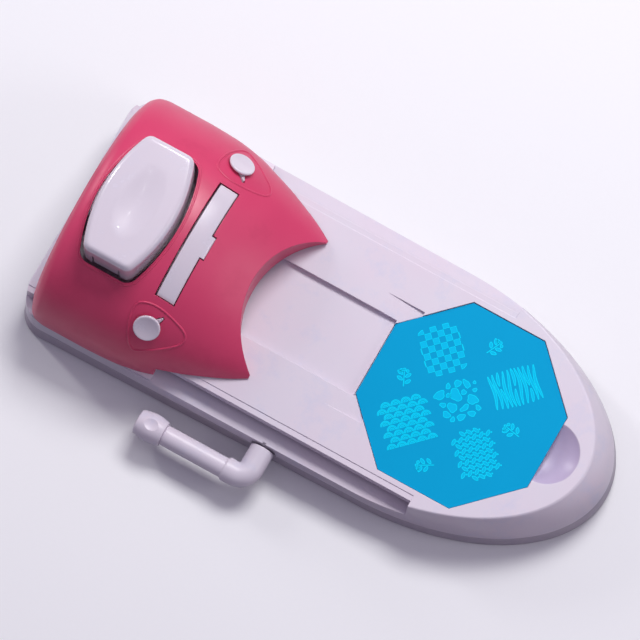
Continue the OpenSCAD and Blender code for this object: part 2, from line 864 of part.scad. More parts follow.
// ---- frame of the carriage ----
lip_y = half_w - 0.6;
knee_y = 34;
shoulder_z = deck_h + 2;

module frame_profile() {
    wall_y0 = blade_y1 - frame_t;
    difference() {
        polygon([[-blade_y1, deck_h + 0.6], [-blade_y1, shoulder_z], [-knee_y, bridge_h], [knee_y, bridge_h],
            [blade_y1, shoulder_z], [blade_y1, deck_h + 0.6]]);
        polygon([[-wall_y0, deck_h], [-wall_y0, shoulder_z - 0.6], [-knee_y + 0.8, bridge_h - frame_t],
            [knee_y - 0.8, bridge_h - frame_t], [wall_y0, shoulder_z - 0.6], [wall_y0, deck_h]]);
    }
}

module rear_wall_plan() {
    x = 9.5;
    gap = cover_wall + 0.4;
    difference() {
        intersection() {
            translate([0, skirt_z])
                polygon(section(x, gap, 0));
            union() {
                translate([-big / 2, deck_h + 0.8])
                    square([big, big]);
                for (s = [-1, 1])
                    translate([s > 0 ? rail_y + 1 : -rail_y - 1 - big, skirt_z])
                        square([big, big]);
            }
        }
        // Arch for the finger
        translate([-finger_w / 2, 0])
            square([finger_w, finger_top - finger_r]);
        translate([-finger_w / 2 + finger_r, 0])
            square([finger_w - 2 * finger_r, finger_top]);
        for (s = [-1, 1])
            translate([s * (finger_w / 2 - finger_r), finger_top - finger_r])
                circle(r = finger_r);
    }
}

finger_w = channel_w + 1.6;
finger_top = bridge_h - frame_t;
finger_r = 9;
stem_x = fx(pad_from_rear - 4.5);
sleeve_wall = 2.2;
sleeve_top = bridge_h + 9;
spring_y = 19;
spring_r = 3;
wire_r = 0.35;
frame_rear = 9.5;
frame_front = scraper_from_rear + 8.2;
// In front of this the cover leaves no room for the frame's side walls
side_wall_front = scraper_from_rear + 3.6;
web_t = 3.2;

module carriage_frame() {
    color("#E4DAE8")
        difference() {
            union() {
                translate([fx(frame_rear), 0, 0])
                    rotate([90, 0, 90])
                        linear_extrude(frame_front - frame_rear)
                            frame_profile();
                translate([fx(frame_rear), 0, 0])
                    rotate([90, 0, 90])
                        linear_extrude(frame_t)
                            rear_wall_plan();
                // Lips that slide on the ledges, and blades beside the deck
                both_sides() {
                    slab(fx(6), fx(runner_front), blade_y0, lip_y, arm_z, skirt_z - 0.2);
                    slab(sledge_rear, fx(side_wall_front), blade_y0, blade_y1, arm_z, shoulder_z);
                }
                // Guide rib that runs in the slot on the lever's side
                mirror([0, 1, 0])
                    slab(sledge_rear, fx(runner_front), rail_y - wall + slide_gap, blade_y1, arm_z, sledge_top);
                // Guide sleeve of the plunger and seats of its springs
                translate([stem_x, 0, bridge_h - frame_t])
                    cylinder(r = stem_r + run_gap + sleeve_wall, h = sleeve_top - bridge_h + frame_t);
                for (s = [-1, 1])
                    translate([fx(cap_from_rear), s * spring_y, bridge_h - 1])
                        cylinder(r = spring_r - wire_r - 0.25, h = 4);
            }
            translate([stem_x, 0, 0])
                cylinder(r = stem_r + run_gap, h = big);
            for (x = tab_at)
                slab(fx(x), fx(x + tab_len), blade_y0 - 1, blade_y1, arm_z - 1, sledge_top);
            both_sides()
                slab(fx(side_wall_front), fx(frame_front + 1), blade_y0 - 2.4, half_w, skirt_z, bridge_h);
            // Slot for the scraper's web
            slab(fx(scraper_from_rear) - web_t / 2 - slide_gap, fx(scraper_from_rear) + web_t / 2 + slide_gap,
                -strip_len / 2 + 1, strip_len / 2 - 1, 0, big);
            for (p = cover_screw_at)
                translate([p[0], p[1], 0])
                    cylinder(r = screw_r + 0.2, h = big);
        }
}

module cover_screws() {
    color("silver")
        for (p = cover_screw_at)
            translate([p[0], p[1], bridge_h - frame_t])
                screw(screw_r, cover_screw_len, screw_head_r, screw_head_t);
}

// ---- scraper ----
strip_slope = atan((cover_crown(60) - cover_crown(52)) / 8);
strip_sag = cover_z(scraper_from_rear, 0) - cover_z(scraper_from_rear, strip_len / 2);
strip_arc_r = (sq(strip_len / 2) + sq(strip_sag)) / (2 * strip_sag);
strip_t = 2.4;
strip_top = cover_z(scraper_from_rear, 0) - 0.3;
web_bottom = deck_h + 4;
blade_bottom = deck_h + 0.3;

module scraper_holder() {
    x0 = -strip_w / 2 - 0.1;
    shoulder = web_t / 2 + 1.2;
    color("#E6E0EA")
        difference() {
            union() {
                translate([fx(scraper_from_rear), 0, strip_top])
                    intersection() {
                        union() {
                            slab(x0, x0 + strip_w, -strip_len / 2, strip_len / 2, -20, 5);
                            slab(0, x0 + strip_w + tab_out, -tab_w / 2, tab_w / 2, -20, 5);
                        }
                        rotate([0, -strip_slope, 0])
                            translate([0, 0, -strip_arc_r])
                                rotate([0, 90, 0])
                                    difference() {
                                        cylinder(r = strip_arc_r, h = 40, center = true, $fn = 180);
                                        cylinder(r = strip_arc_r - strip_t, h = 50, center = true, $fn = 180);
                                    }
                    }
                difference() {
                    slab(fx(scraper_from_rear) - web_t / 2, fx(scraper_from_rear) + web_t / 2,
                        -strip_len / 2 + 1.5, strip_len / 2 - 1.5, web_bottom, strip_top);
                    translate([fx(scraper_from_rear), 0, strip_top - strip_arc_r - strip_t / 2])
                        rotate([0, 90, 0])
                            difference() {
                                cylinder(r = 2 * strip_arc_r, h = 20, center = true);
                                cylinder(r = strip_arc_r, h = 22, center = true, $fn = 180);
                            }
                }
                // Shoulders that rest on the bridge
                both_sides()
                    slab(fx(scraper_from_rear) - shoulder, fx(scraper_from_rear) + shoulder, 8, 20,
                        bridge_h + 0.05, bridge_h + 2);
            }
            // Pocket that grips the blade
            slab(fx(scraper_from_rear) - scraper_t / 2, fx(scraper_from_rear) + scraper_t / 2,
                -strip_len, strip_len, web_bottom - 1, web_bottom + 5);
        }
}

module scraper_blade() {
    color("#8FD0E8")
        slab(fx(scraper_from_rear) - scraper_t / 2, fx(scraper_from_rear) + scraper_t / 2,
            -strip_len / 2 + 1.5, strip_len / 2 - 1.5, blade_bottom, web_bottom + 5);
}

// ---- press cap, plunger and stamp ----
cap_bottom = cap_h - 18.5;
cap_top_t = 3;
carrier_bottom = cap_h - 10;
holder_top = bridge_h - frame_t - seat_gap;
holder_t = 1.3;
pad_bottom = holder_top - holder_t - pad_t;

module cap_slab(grow, z0, z1) {
    translate([0, 0, z0])
        linear_extrude(z1 - z0)
            cap_plan(grow);
}

// Shallow oval dish: a barrel that lies along the cap
module dimple() {
    half_x = 10;
    half_y = 19;
    r_x = (sq(half_x) + sq(dimple_depth)) / (2 * dimple_depth);
    r_y = (sq(half_y) + sq(dimple_depth)) / (2 * dimple_depth);
    translate([fx(cap_from_rear), 0, cap_h - dimple_depth + r_x])
        rotate([90, 0, 0])
            rotate_extrude($fn = 180)
                intersection() {
                    translate([r_x - r_y, 0])
                        circle(r = r_y, $fn = 360);
                    translate([0, -half_y * 1.5])
                        square([r_x + 1, half_y * 3]);
                }
}

module press_cap() {
    round = 3;
    color("#DED2E2")
        difference() {
            hull() {
                cap_slab(0, cap_bottom, cap_h - round);
                cap_slab(-0.5, cap_h - round, cap_h - round * 0.55);
                cap_slab(-1.2, cap_h - round, cap_h - round * 0.22);
                cap_slab(-2.2, cap_h - round, cap_h);
            }
            cap_slab(-cap_wall, cap_bottom - 1, cap_h - cap_top_t);
            dimple();
            // Slits beside the snap tab in each end, and the tab's window
            for (s = [-1, 1])
                translate([fx(cap_from_rear), s * cap_len / 2, 0]) {
                    for (x = [-6, 6])
                        slab(x - 0.4, x + 0.4, -cap_wall - 1, cap_wall + 1, cap_bottom - 1, cap_h - 8);
                    slab(-6, 6, s > 0 ? -0.7 : -5, s > 0 ? 5 : 0.7, cap_bottom - 1, cap_bottom + 3);
                }
        }
}

module plunger() {
    color("#E4DAE8") {
        difference() {
            cap_slab(-cap_wall - seat_gap, carrier_bottom, cap_h - cap_top_t);
            cap_slab(-cap_wall - 2.2, carrier_bottom + 2, cap_h);
        }
        translate([stem_x, 0, holder_top - eps])
            cylinder(r = stem_r, h = carrier_bottom - holder_top + 1);
        slab(fx(pad_from_rear) - pad_len / 2 - 1, fx(pad_from_rear) + pad_len / 2 + 1,
            -pad_w / 2 - 1, pad_w / 2 + 1, holder_top - holder_t, holder_top);
    }
}

module stamp_pad() {
    crown_r = 60;
    color("#F3EFF5")
        intersection() {
            slab(fx(pad_from_rear) - pad_len / 2, fx(pad_from_rear) + pad_len / 2, -pad_w / 2, pad_w / 2,
                pad_bottom - 1, holder_top - holder_t);
            translate([fx(pad_from_rear), 0, pad_bottom + crown_r])
                sphere(r = crown_r, $fn = 180);
        }
}

// One coil spring as a swept tube
spring_turns = 8;
spring_steps = 12;
spring_sides = 6;
module coil(h) {
    rings = spring_turns * spring_steps;
    points = [for (i = [0 : rings], k = [0 : spring_sides - 1])
        let(a = 360 * i / spring_steps, b = 360 * k / spring_sides,
            z = wire_r + (h - 2 * wire_r) * i / rings, r = spring_r + wire_r * cos(b))
        [r * cos(a), r * sin(a), z + wire_r * sin(b)]];
    faces = concat([[for (k = [0 : spring_sides - 1]) k]],
        [for (i = [0 : rings - 1], k = [0 : spring_sides - 1])
            let(a = i * spring_sides, n = (k + 1) % spring_sides)
            [a + k, a + spring_sides + k, a + spring_sides + n, a + n]],
        [[for (k = [spring_sides - 1 : -1 : 0]) rings * spring_sides + k]]);
    polyhedron(points, faces);
}

module press_springs() {
    color("silver")
        for (s = [-1, 1])
            translate([fx(cap_from_rear), s * spring_y, bridge_h])
                coil(carrier_bottom - bridge_h);
}

// ---- release buttons ----
module release_button() {
    collar_z = -cover_wall - 1.5;
    color("#DED2E2")
        at_button()
            difference() {
                union() {
                    translate([0, 0, button_travel + 0.2])
                        cylinder(d1 = button_d - 0.6, d2 = button_d, h = 0.4);
                    translate([0, 0, button_travel + 0.6])
                        cylinder(d = button_d, h = button_t - 0.9);
                    translate([0, 0, button_travel + button_t - 0.3])
                        cylinder(d1 = button_d, d2 = button_d - 1, h = 0.5);
                    translate([0, 0, collar_z])
                        cylinder(r = button_stem_r, h = button_travel + 1 - collar_z);
                    translate([0, 0, collar_z - 0.9])
                        cylinder(r = button_stem_r + 1, h = 0.9);
                    translate([0, 0, collar_z])
                        linear_extrude(0.15 - collar_z)
                            key_plan(0);
                }
                translate([0, 0, button_travel + button_t + 27.6])
                    sphere(r = 27.6, $fn = 96);
            }
}

module release_button_left() {
    release_button();
}

module release_button_right() {
    mirror([0, 1, 0])
        release_button();
}

base_shell();
base_tray();
tray_screws();
pattern_plate();
shaft_bush();
lever_shaft();
lever_arm();
lever_grip();
lever_gear();
counter_shaft();
counter_gear();
output_shaft();
output_gear();
rack_pinion();
sledge();
drive_rack();
carriage_frame();
cover();
cover_screws();
scraper_holder();
scraper_blade();
press_cap();
plunger();
stamp_pad();
press_springs();
release_button_left();
release_button_right();
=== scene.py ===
import json
from math import asin, atan2, cos, degrees, pi, radians, sin, sqrt

import bmesh
import bpy
from mathutils import Matrix, Vector


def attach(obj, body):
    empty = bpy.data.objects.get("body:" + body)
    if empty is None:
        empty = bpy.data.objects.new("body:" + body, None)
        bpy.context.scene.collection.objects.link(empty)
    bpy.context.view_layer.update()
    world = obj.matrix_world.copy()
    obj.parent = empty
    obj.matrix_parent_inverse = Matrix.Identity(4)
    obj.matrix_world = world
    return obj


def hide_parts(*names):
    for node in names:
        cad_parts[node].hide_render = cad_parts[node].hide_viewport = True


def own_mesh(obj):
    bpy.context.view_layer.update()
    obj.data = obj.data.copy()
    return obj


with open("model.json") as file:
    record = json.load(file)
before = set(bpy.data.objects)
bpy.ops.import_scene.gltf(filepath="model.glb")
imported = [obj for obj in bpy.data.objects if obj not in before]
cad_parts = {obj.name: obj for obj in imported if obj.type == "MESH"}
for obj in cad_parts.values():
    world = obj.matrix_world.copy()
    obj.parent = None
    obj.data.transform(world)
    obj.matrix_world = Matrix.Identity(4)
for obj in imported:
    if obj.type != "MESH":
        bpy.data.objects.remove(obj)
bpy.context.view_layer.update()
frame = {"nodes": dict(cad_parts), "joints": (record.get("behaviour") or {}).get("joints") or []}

bl_info = {
    "name": "Nail stamping press looks",
    "version": (1, 0, 0),
    "blender": (4, 5, 0),
    "location": "3D View > Sidebar > Stamping press",
    "description": "Fine shells, finishes, plate pattern and stage for a hand-driven nail stamping press",
    "category": "Object",
}

# Lengths inside the shapes are millimetres: +X from the rear end to the nose, +Y away from the lever, +Z up.
MM = 0.001
HALF_LENGTH = 123.5
SIDES = (1, -1)
BUTTONS = ((1, "left"), (-1, "right"))
UP = Vector((0, 0, 1))


def colour(code):
    """Linear red, green and blue of an sRGB hex value."""
    parts = [int(code[i:i + 2], 16) / 255 for i in (1, 3, 5)]
    return [p / 12.92 if p <= 0.04045 else ((p + 0.055) / 1.055) ** 2.4 for p in parts]


# ---------------------------------------------------------------- values that a user would change

def length_value(name, text, default_mm):
    return bpy.props.FloatProperty(
        name=name, description=text, default=default_mm * MM, unit="LENGTH", precision=4)


def colour_value(name, text, code):
    return bpy.props.FloatVectorProperty(
        name=name, description=text, size=3, min=0, max=1, subtype="COLOR", default=colour(code))


class BaseValues(bpy.types.PropertyGroup):
    length: length_value("Length", "Length of the base from the rear end to the nose's tip", 2 * HALF_LENGTH)
    width: length_value("Width", "Width of the base across its underside where the nose starts", 104.8)
    deck_height: length_value("Deck height", "Height of the deck above the table", 25)
    rail_width: length_value("Rail width", "Width of the raised deck between the ledges", 90.2)
    channel_width: length_value("Channel width", "Width of the finger channel", 36.4)
    plate_size: length_value("Plate size", "Size of the octagonal plate across its flats", 80)


class CarriageValues(bpy.types.PropertyGroup):
    wall: length_value("Cover wall", "Wall thickness of the cover", 2.2)
    relief_width: length_value("Relief width", "Width of the raised lines on the cover", 1)
    relief_height: length_value("Relief height", "Height of the raised lines on the cover", 0.35)
    cap_length: length_value("Cap length", "Length of the press cap across the machine", 55)
    cap_width: length_value("Cap width", "Width of the press cap in the middle", 33)
    cap_top: length_value("Cap top", "Height of the top of the press cap above the table", 70)
    cap_travel: length_value("Cap travel", "How far the press cap goes down", 8)
    button_size: length_value("Button size", "Diameter of a release button", 11.3)


class FinishValues(bpy.types.PropertyGroup):
    shell: colour_value("Shell", "Lavender white of the base and the lever", "#DCD3DF")
    cap: colour_value("Cap", "Lavender white of the cap, the buttons and the scraper strip", "#DDD3DE")
    tray: colour_value("Tray", "Greyer lavender of the lower moulding", "#B9AFBC")
    cover: colour_value("Cover", "Pink of the carriage cover", "#D43E68")
    plate: colour_value("Plate", "Blue of the film on the pattern plate", "#00A2D4")
    pattern: colour_value("Pattern", "Light blue of the filled parts of the pattern", "#00C0EC")
    outline: colour_value("Outline", "Bright blue of the pattern's etched edges", "#00DEFC")
    floor: colour_value("Floor", "Pale colour of the floor", "#F4F3F5")
    bounce: colour_value("Floor bounce", "Duller colour with which the floor lights the object from below",
                         "#77747A")


def values(name):
    return getattr(bpy.context.scene, "press_" + name)


def picked(name):
    """A colour from the finish values."""
    return tuple(getattr(values("finish"), name))


def base_sizes():
    """Deck height, and the half widths of the base, the raised deck and the channel."""
    base = values("base")
    return base.deck_height / MM, base.width / MM / 2, base.rail_width / MM / 2, base.channel_width / MM / 2


# ---------------------------------------------------------------- flat shapes

def from_rear(d):
    """X of a point at a distance from the rear end."""
    return d - HALF_LENGTH


def spread(start, end, steps):
    """Values from start to end in equal steps."""
    return [start + (end - start) * i / steps for i in range(steps + 1)]


def turns(steps):
    """Angles of one full turn."""
    return [2 * pi * i / steps for i in range(steps)]


def circle(x, y, r, steps):
    return [(x + r * cos(a), y + r * sin(a)) for a in turns(steps)]


def arc(x, y, r, start, end, steps):
    """Points between two angles in degrees."""
    return [(x + r * cos(a), y + r * sin(a)) for a in spread(radians(start), radians(end), steps)]


def placed(shape, x, y, turn):
    """Shape turned by an angle in degrees and moved to a place."""
    c, s = cos(radians(turn)), sin(radians(turn))
    return [(x + px * c - py * s, y + px * s + py * c) for px, py in shape]


def area(shape):
    """Area of a shape, negative where it runs clockwise."""
    return sum(p[0] * q[1] - q[0] * p[1] for p, q in zip(shape, shape[1:] + shape[:1])) / 2


# ---------------------------------------------------------------- mesh building

def at_height(plan, z):
    return [(x, y, z) for x, y in plan]


def ring(centre, side, up, r, steps):
    """Circle about a centre in the plane of two directions."""
    return [centre + (side * cos(a) + up * sin(a)) * r for a in turns(steps)]


def quads(rows, n, first=0, closed=False, round_rows=True):
    """Faces between rows of n points; closed joins the last row to the first."""
    faces = []
    for row in range(rows if closed else rows - 1):
        low, high = first + row * n, first + (row + 1) % rows * n
        for i in range(n if round_rows else n - 1):
            j = (i + 1) % n
            faces.append((low + i, low + j, high + j, high + i))
    return faces


def tube_faces(rows, n, first=0):
    """Faces of a tube of rows with its two ends closed."""
    last = first + (rows - 1) * n
    return quads(rows, n, first) + [tuple(reversed(range(first, first + n))), tuple(range(last, last + n))]


def link(name, data):
    obj = bpy.data.objects.new(name, data)
    bpy.context.scene.collection.objects.link(obj)
    return obj


def mesh_object(name, rows, faces):
    mesh = bpy.data.meshes.new(name)
    mesh.from_pydata([tuple(p) for row in rows for p in row], [], faces)
    work = bmesh.new()
    work.from_mesh(mesh)
    bmesh.ops.remove_doubles(work, verts=work.verts, dist=1e-5)
    bmesh.ops.recalc_face_normals(work, faces=work.faces)
    work.to_mesh(mesh)
    work.free()
    return link(name, mesh)


def loft(name, rings):
    """Closed solid through rings that have the same number of points."""
    return mesh_object(name, rings, tube_faces(len(rings), len(rings[0])))


def lathe(name, profile, steps=96):
    """Closed solid turned round Z from (radius, height) points."""
    return loft(name, [at_height(circle(0, 0, r, steps), z) for r, z in profile])


def prism(plan, z0, z1):
    return loft("tool", [at_height(plan, z) for z in (z0, z1)])


def block(x0, x1, y0, y1, z0, z1):
    return prism([(x0, y0), (x1, y0), (x1, y1), (x0, y1)], z0, z1)


def side_block(s, x0, x1, y0, y1, z0, z1):
    """Block on one side of the middle, between two distances from it."""
    return block(x0, x1, *sorted((s * y0, s * y1)), z0, z1)


def round_bar(start, end, r, steps=48):
    """Cylinder between two points."""
    start, end = Vector(start), Vector(end)
    axis = (end - start).normalized()
    side = axis.orthogonal().normalized()
    return loft("tool", [ring(p, side, axis.cross(side), r, steps) for p in (start, end)])


def upright(x, y, z0, z1, r, steps=48):
    """Standing cylinder."""
    return round_bar((x, y, z0), (x, y, z1), r, steps)


def crosswise(x, y0, y1, r, steps=48):
    """Cylinder across the machine at the height of the lever's shaft."""
    return round_bar((x, y0, SHAFT_Z), (x, y1, SHAFT_Z), r, steps)


def ball(x, y, z, r, steps):
    return loft("tool", [at_height(circle(x, y, r * sin(a), steps), z - r * cos(a))
                         for a in spread(0, pi, steps // 2)[1:-1]])


def cut(obj, tools, operation="DIFFERENCE"):
    """Cuts tools out of a solid, or joins them to it, and removes them."""
    for tool in tools:
        step = obj.modifiers.new("cut", "BOOLEAN")
        step.operation = operation
        step.solver = "MANIFOLD"
        step.object = tool
    apply_modifiers(obj)
    for tool in tools:
        bpy.data.objects.remove(tool)
    return obj


def apply_modifiers(obj):
    depsgraph = bpy.context.evaluated_depsgraph_get()
    mesh = bpy.data.meshes.new_from_object(obj.evaluated_get(depsgraph))
    obj.modifiers.clear()
    obj.data = mesh


def dress(obj, make, *args):
    """Gives a piece the material that a maker makes."""
    obj.data.materials.clear()
    obj.data.materials.append(material(make, *args))


def finish_piece(obj, name, body, make, replaced=(), crease=30, weighted=True):
    """Smooths a piece, brings it to metres, gives it its material, hangs it on its body and hides the parts
    it replaces.
    """
    obj.name = name
    obj.data.name = name
    obj.data.transform(Matrix.Scale(MM, 4))
    obj.data.shade_smooth()
    obj.data.set_sharp_from_angle(angle=radians(crease))
    if weighted:
        obj.modifiers.new("flat faces stay flat", "WEIGHTED_NORMAL").keep_sharp = True
        apply_modifiers(obj)
    dress(obj, make)
    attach(obj, body)
    if replaced:
        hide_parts(*replaced)
    return obj


# ---------------------------------------------------------------- materials

MATERIALS = {}


def material(make, *args):
    """One copy of each material."""
    key = (make.__name__,) + args
    if key not in MATERIALS:
        MATERIALS[key] = make(*args)
    return MATERIALS[key]


def add(m, kind, inputs=None, **settings):
    """Adds a node with its settings, values and links; a node as a value links its first output in use."""
    node = m.node_tree.nodes.new(kind)
    for key, value in settings.items():
        setattr(node, key, value)
    for socket, value in (inputs or {}).items():
        if isinstance(value, bpy.types.Node):
            value = next(output for output in value.outputs if output.enabled)
        if isinstance(value, bpy.types.NodeSocket):
            m.node_tree.links.new(value, node.inputs[socket])
        else:
            node.inputs[socket].default_value = value
    return node


def new_material(name):
    """Empty material, and the place on the piece that its patterns follow."""
    m = bpy.data.materials.new(name)
    m.use_nodes = True
    m.node_tree.nodes.clear()
    return m, add(m, "ShaderNodeTexCoord").outputs["Object"]


def close(m, shader):
    add(m, "ShaderNodeOutputMaterial", {"Surface": shader}).is_active_output = True
    return m


def rgba(c, factor=1.0):
    return [min(1, v * factor) for v in c] + [1]


def moulded_plastic(name, base, warm, cool, rough, grain_mm, depth_mm, blotch_mm=38, drift=0.5, coat=0,
                    painted_shade=None):
    """ABS, injection moulded: an even body colour, soft flow shades and the fine texture of the mould."""
    m, place = new_material(name)
    # Flow shades and handling: slow drifts between a warm and a cool tone
    flow = add(m, "ShaderNodeTexNoise", {"Vector": place, "Scale": 1000 / blotch_mm, "Detail": 3,
                                         "Roughness": 0.55})
    rub = add(m, "ShaderNodeTexNoise", {"Vector": place, "Scale": 2600 / blotch_mm, "Detail": 6,
                                        "Roughness": 0.7})
    tone = rgba(base)
    for noise, low, high, code in ((flow, 0.45, 0.75, warm), (rub, 0.52, 0.72, cool)):
        share = add(m, "ShaderNodeMapRange", {"Value": noise, "From Min": low, "From Max": high,
                                              "To Max": drift})
        tone = add(m, "ShaderNodeMix", {"Factor": share, "A": tone, "B": rgba(colour(code))},
                   data_type="RGBA")
    # Painted shade, where one is given
    if painted_shade:
        tone = painted_shade(m, place, tone)
    # Mould texture, drawn coarser than the real 0.1 mm so that it shows
    grain = add(m, "ShaderNodeTexNoise", {"Vector": place, "Scale": 1000 / grain_mm, "Detail": 2,
                                          "Roughness": 0.6})
    soft = add(m, "ShaderNodeBevel", {"Radius": 0.35 * MM}, samples=6)
    bump = add(m, "ShaderNodeBump", {"Height": grain, "Distance": depth_mm * MM, "Strength": 0.6,
                                     "Normal": soft})
    # Fine rubs make the shine uneven
    dull = add(m, "ShaderNodeMapRange", {"Value": rub, "From Min": 0.3, "From Max": 0.7,
                                         "To Min": rough - 0.05, "To Max": rough + 0.06})
    return close(m, add(m, "ShaderNodeBsdfPrincipled", {
        "Base Color": tone, "Roughness": dull, "IOR": 1.53, "Coat Weight": coat,
        "Coat Roughness": 0.05, "Normal": bump}))


def painted_scoop_shade(m, place, tone):
    """Painted shade: deepens the violet inside the thumb scoop, where the dish lies in shade."""
    middle = (PLATE_X + values("base").plate_size / MM / 2, 0, values("base").deck_height / MM)
    reach = add(m, "ShaderNodeVectorMath", {0: place, 1: [v * MM for v in middle]}, operation="DISTANCE")
    share = add(m, "ShaderNodeMapRange", {"Value": reach, "From Min": (SCOOP_R - 0.5) * MM,
                                          "From Max": (SCOOP_R + 0.1) * MM, "To Min": 0.7, "To Max": 0})
    # Darker violet of the painted shade in the scoop
    return add(m, "ShaderNodeMix", {"Factor": share, "A": tone, "B": rgba(colour("#B3A0C6"))},
               data_type="RGBA")


def shell_abs():
    # ABS, injection moulded in a polished tool: satin with soft, wide highlights and faint dye rubs; a
    # painted shade darkens the thumb scoop
    return moulded_plastic("ABS lavender satin moulded", picked("shell"), "#DFCBDA", "#C6C8DF", 0.36, 0.45,
                           0.012, painted_shade=painted_scoop_shade)


def tray_abs():
    # ABS, injection moulded in a spark-eroded tool: even and dull
    return moulded_plastic("ABS lavender spark textured", picked("tray"), "#BFB0BF", "#ACA7BB", 0.5, 0.6,
                           0.03)


def cover_abs():
    # ABS, dyed pink and moulded in a polished tool: a soft broad sheen over a fine grain
    return moulded_plastic("ABS pink polished moulded", picked("cover"), "#DC4A72", "#C8345E", 0.38, 0.5,
                           0.014, 60, 0.6)


def cap_abs():
    # ABS, high-gloss tool: small sharp highlights on the rounded rim
    return moulded_plastic("ABS lavender gloss moulded", picked("cap"), "#E2D3DD", "#D1CFE0", 0.24, 0.8,
                           0.003, 45, 0.35, coat=0.5)


def frame_abs():
    # ABS, moulded, hardly touched: a little whiter than the shell
    return moulded_plastic("ABS white moulded", colour("#E8E0EC"), "#EADFE8", "#DAD8E8", 0.36, 0.5, 0.01)


def milky(name, light, dark, cloud_mm, detail, edge_mm, rough, ior, weight, depth):
    """Pale plastic that light enters a little: a faint cloud, soft edges and a soft shine."""
    m, place = new_material(name)
    cloud = add(m, "ShaderNodeTexNoise", {"Vector": place, "Scale": 1000 / cloud_mm, "Detail": detail})
    tone = add(m, "ShaderNodeMix", {"Factor": cloud, "A": rgba(colour(light)),
                                    "B": rgba(colour(dark))}, data_type="RGBA")
    soft = add(m, "ShaderNodeBevel", {"Radius": edge_mm * MM}, samples=4)
    return close(m, add(m, "ShaderNodeBsdfPrincipled", {
        "Base Color": tone, "Roughness": rough, "IOR": ior, "Subsurface Weight": weight,
        "Subsurface Radius": [d * MM for d in depth], "Subsurface Scale": 1.0, "Normal": soft}))


def acetal():
    # Acetal, moulded gears: waxy white with a soft shine and light passing a little way in
    return milky("Acetal natural moulded", "#EFEAEF", "#E2DDE6", 5.556, 2, 0.1, 0.42, 1.48, 0.15, (2, 2, 2))


def silicone():
    # Silicone, cast: milky, soft and slightly see-through at its edge
    return milky("Silicone milky cast", "#F6F2F6", "#E8E6EE", 8.333, 3, 0.5, 0.3, 1.41, 0.6, (4, 3.5, 3.5))


def steel(name, code, rough, line_mm, depth_mm):
    """Steel: bluish silver, dulled a little by the fine lines of its making."""
    m, place = new_material(name)
    stretched = add(m, "ShaderNodeMapping", {"Vector": place, "Scale": (1, 1, 6)})
    lines = add(m, "ShaderNodeTexNoise", {"Vector": stretched, "Scale": 1000 / line_mm,
                                          "Detail": 3})
    patch = add(m, "ShaderNodeTexNoise", {"Vector": place, "Scale": 1000 / 3.333, "Detail": 2})
    tone = add(m, "ShaderNodeMix", {"Factor": patch, "A": rgba(colour(code)),
                                    "B": rgba(colour(code), 0.82)}, data_type="RGBA")
    dull = add(m, "ShaderNodeMapRange", {"Value": lines, "To Min": rough - 0.08, "To Max": rough + 0.1})
    soft = add(m, "ShaderNodeBevel", {"Radius": 0.12 * MM}, samples=4)
    bump = add(m, "ShaderNodeBump", {"Height": lines, "Distance": depth_mm * MM, "Strength": 0.4,
                                     "Normal": soft})
    return close(m, add(m, "ShaderNodeBsdfPrincipled", {
        "Base Color": tone, "Metallic": 1.0, "Roughness": dull,
        "Normal": bump}))


def screw_steel():
    # Steel, zinc plated: cool and slightly dull
    return steel("Steel zinc plated", "#C9CCD2", 0.34, 0.8, 0.01)


def shaft_steel():
    # Steel, ground: even and bright
    return steel("Steel ground", "#D6D7DA", 0.24, 0.5, 0.004)


def spring_steel():
    # Spring steel, drawn: a little darker, with a soft shine along the wire
    return steel("Spring steel drawn", "#B9BBC2", 0.3, 0.3, 0.004)


def blade_steel():
    # Stainless steel, rolled: the brightest of the metals
    return steel("Stainless steel rolled", "#DDE0E4", 0.22, 0.4, 0.004)


def film(name, base, rough, painted_sheen_code):
    """Protective film on polished steel: a flat strong colour with a faint ripple where the film lifts; along
    the ripple a lighter blue is mixed in as a painted sheen.
    """
    m, place = new_material(name)
    ripple = add(m, "ShaderNodeTexNoise", {"Vector": place, "Scale": 1000 / 18.18, "Detail": 2})
    fleck = add(m, "ShaderNodeTexNoise", {"Vector": place, "Scale": 1000 / 0.7143, "Detail": 1})
    # Painted sheen: a lighter blue mixed in along the ripple
    share = add(m, "ShaderNodeMapRange", {"Value": ripple, "From Min": 0.4, "From Max": 0.7, "To Max": 0.25})
    tone = add(m, "ShaderNodeMix", {"Factor": share, "A": rgba(base), "B": rgba(colour(painted_sheen_code))},
               data_type="RGBA")
    dull = add(m, "ShaderNodeMapRange", {"Value": fleck, "To Min": rough - 0.05, "To Max": rough + 0.05})
    bump = add(m, "ShaderNodeBump", {"Height": ripple, "Distance": 0.05 * MM, "Strength": 0.25})
    return close(m, add(m, "ShaderNodeBsdfPrincipled", {
        "Base Color": tone, "Roughness": dull, "IOR": 1.49,
        "Specular IOR Level": 0.05, "Normal": bump}))


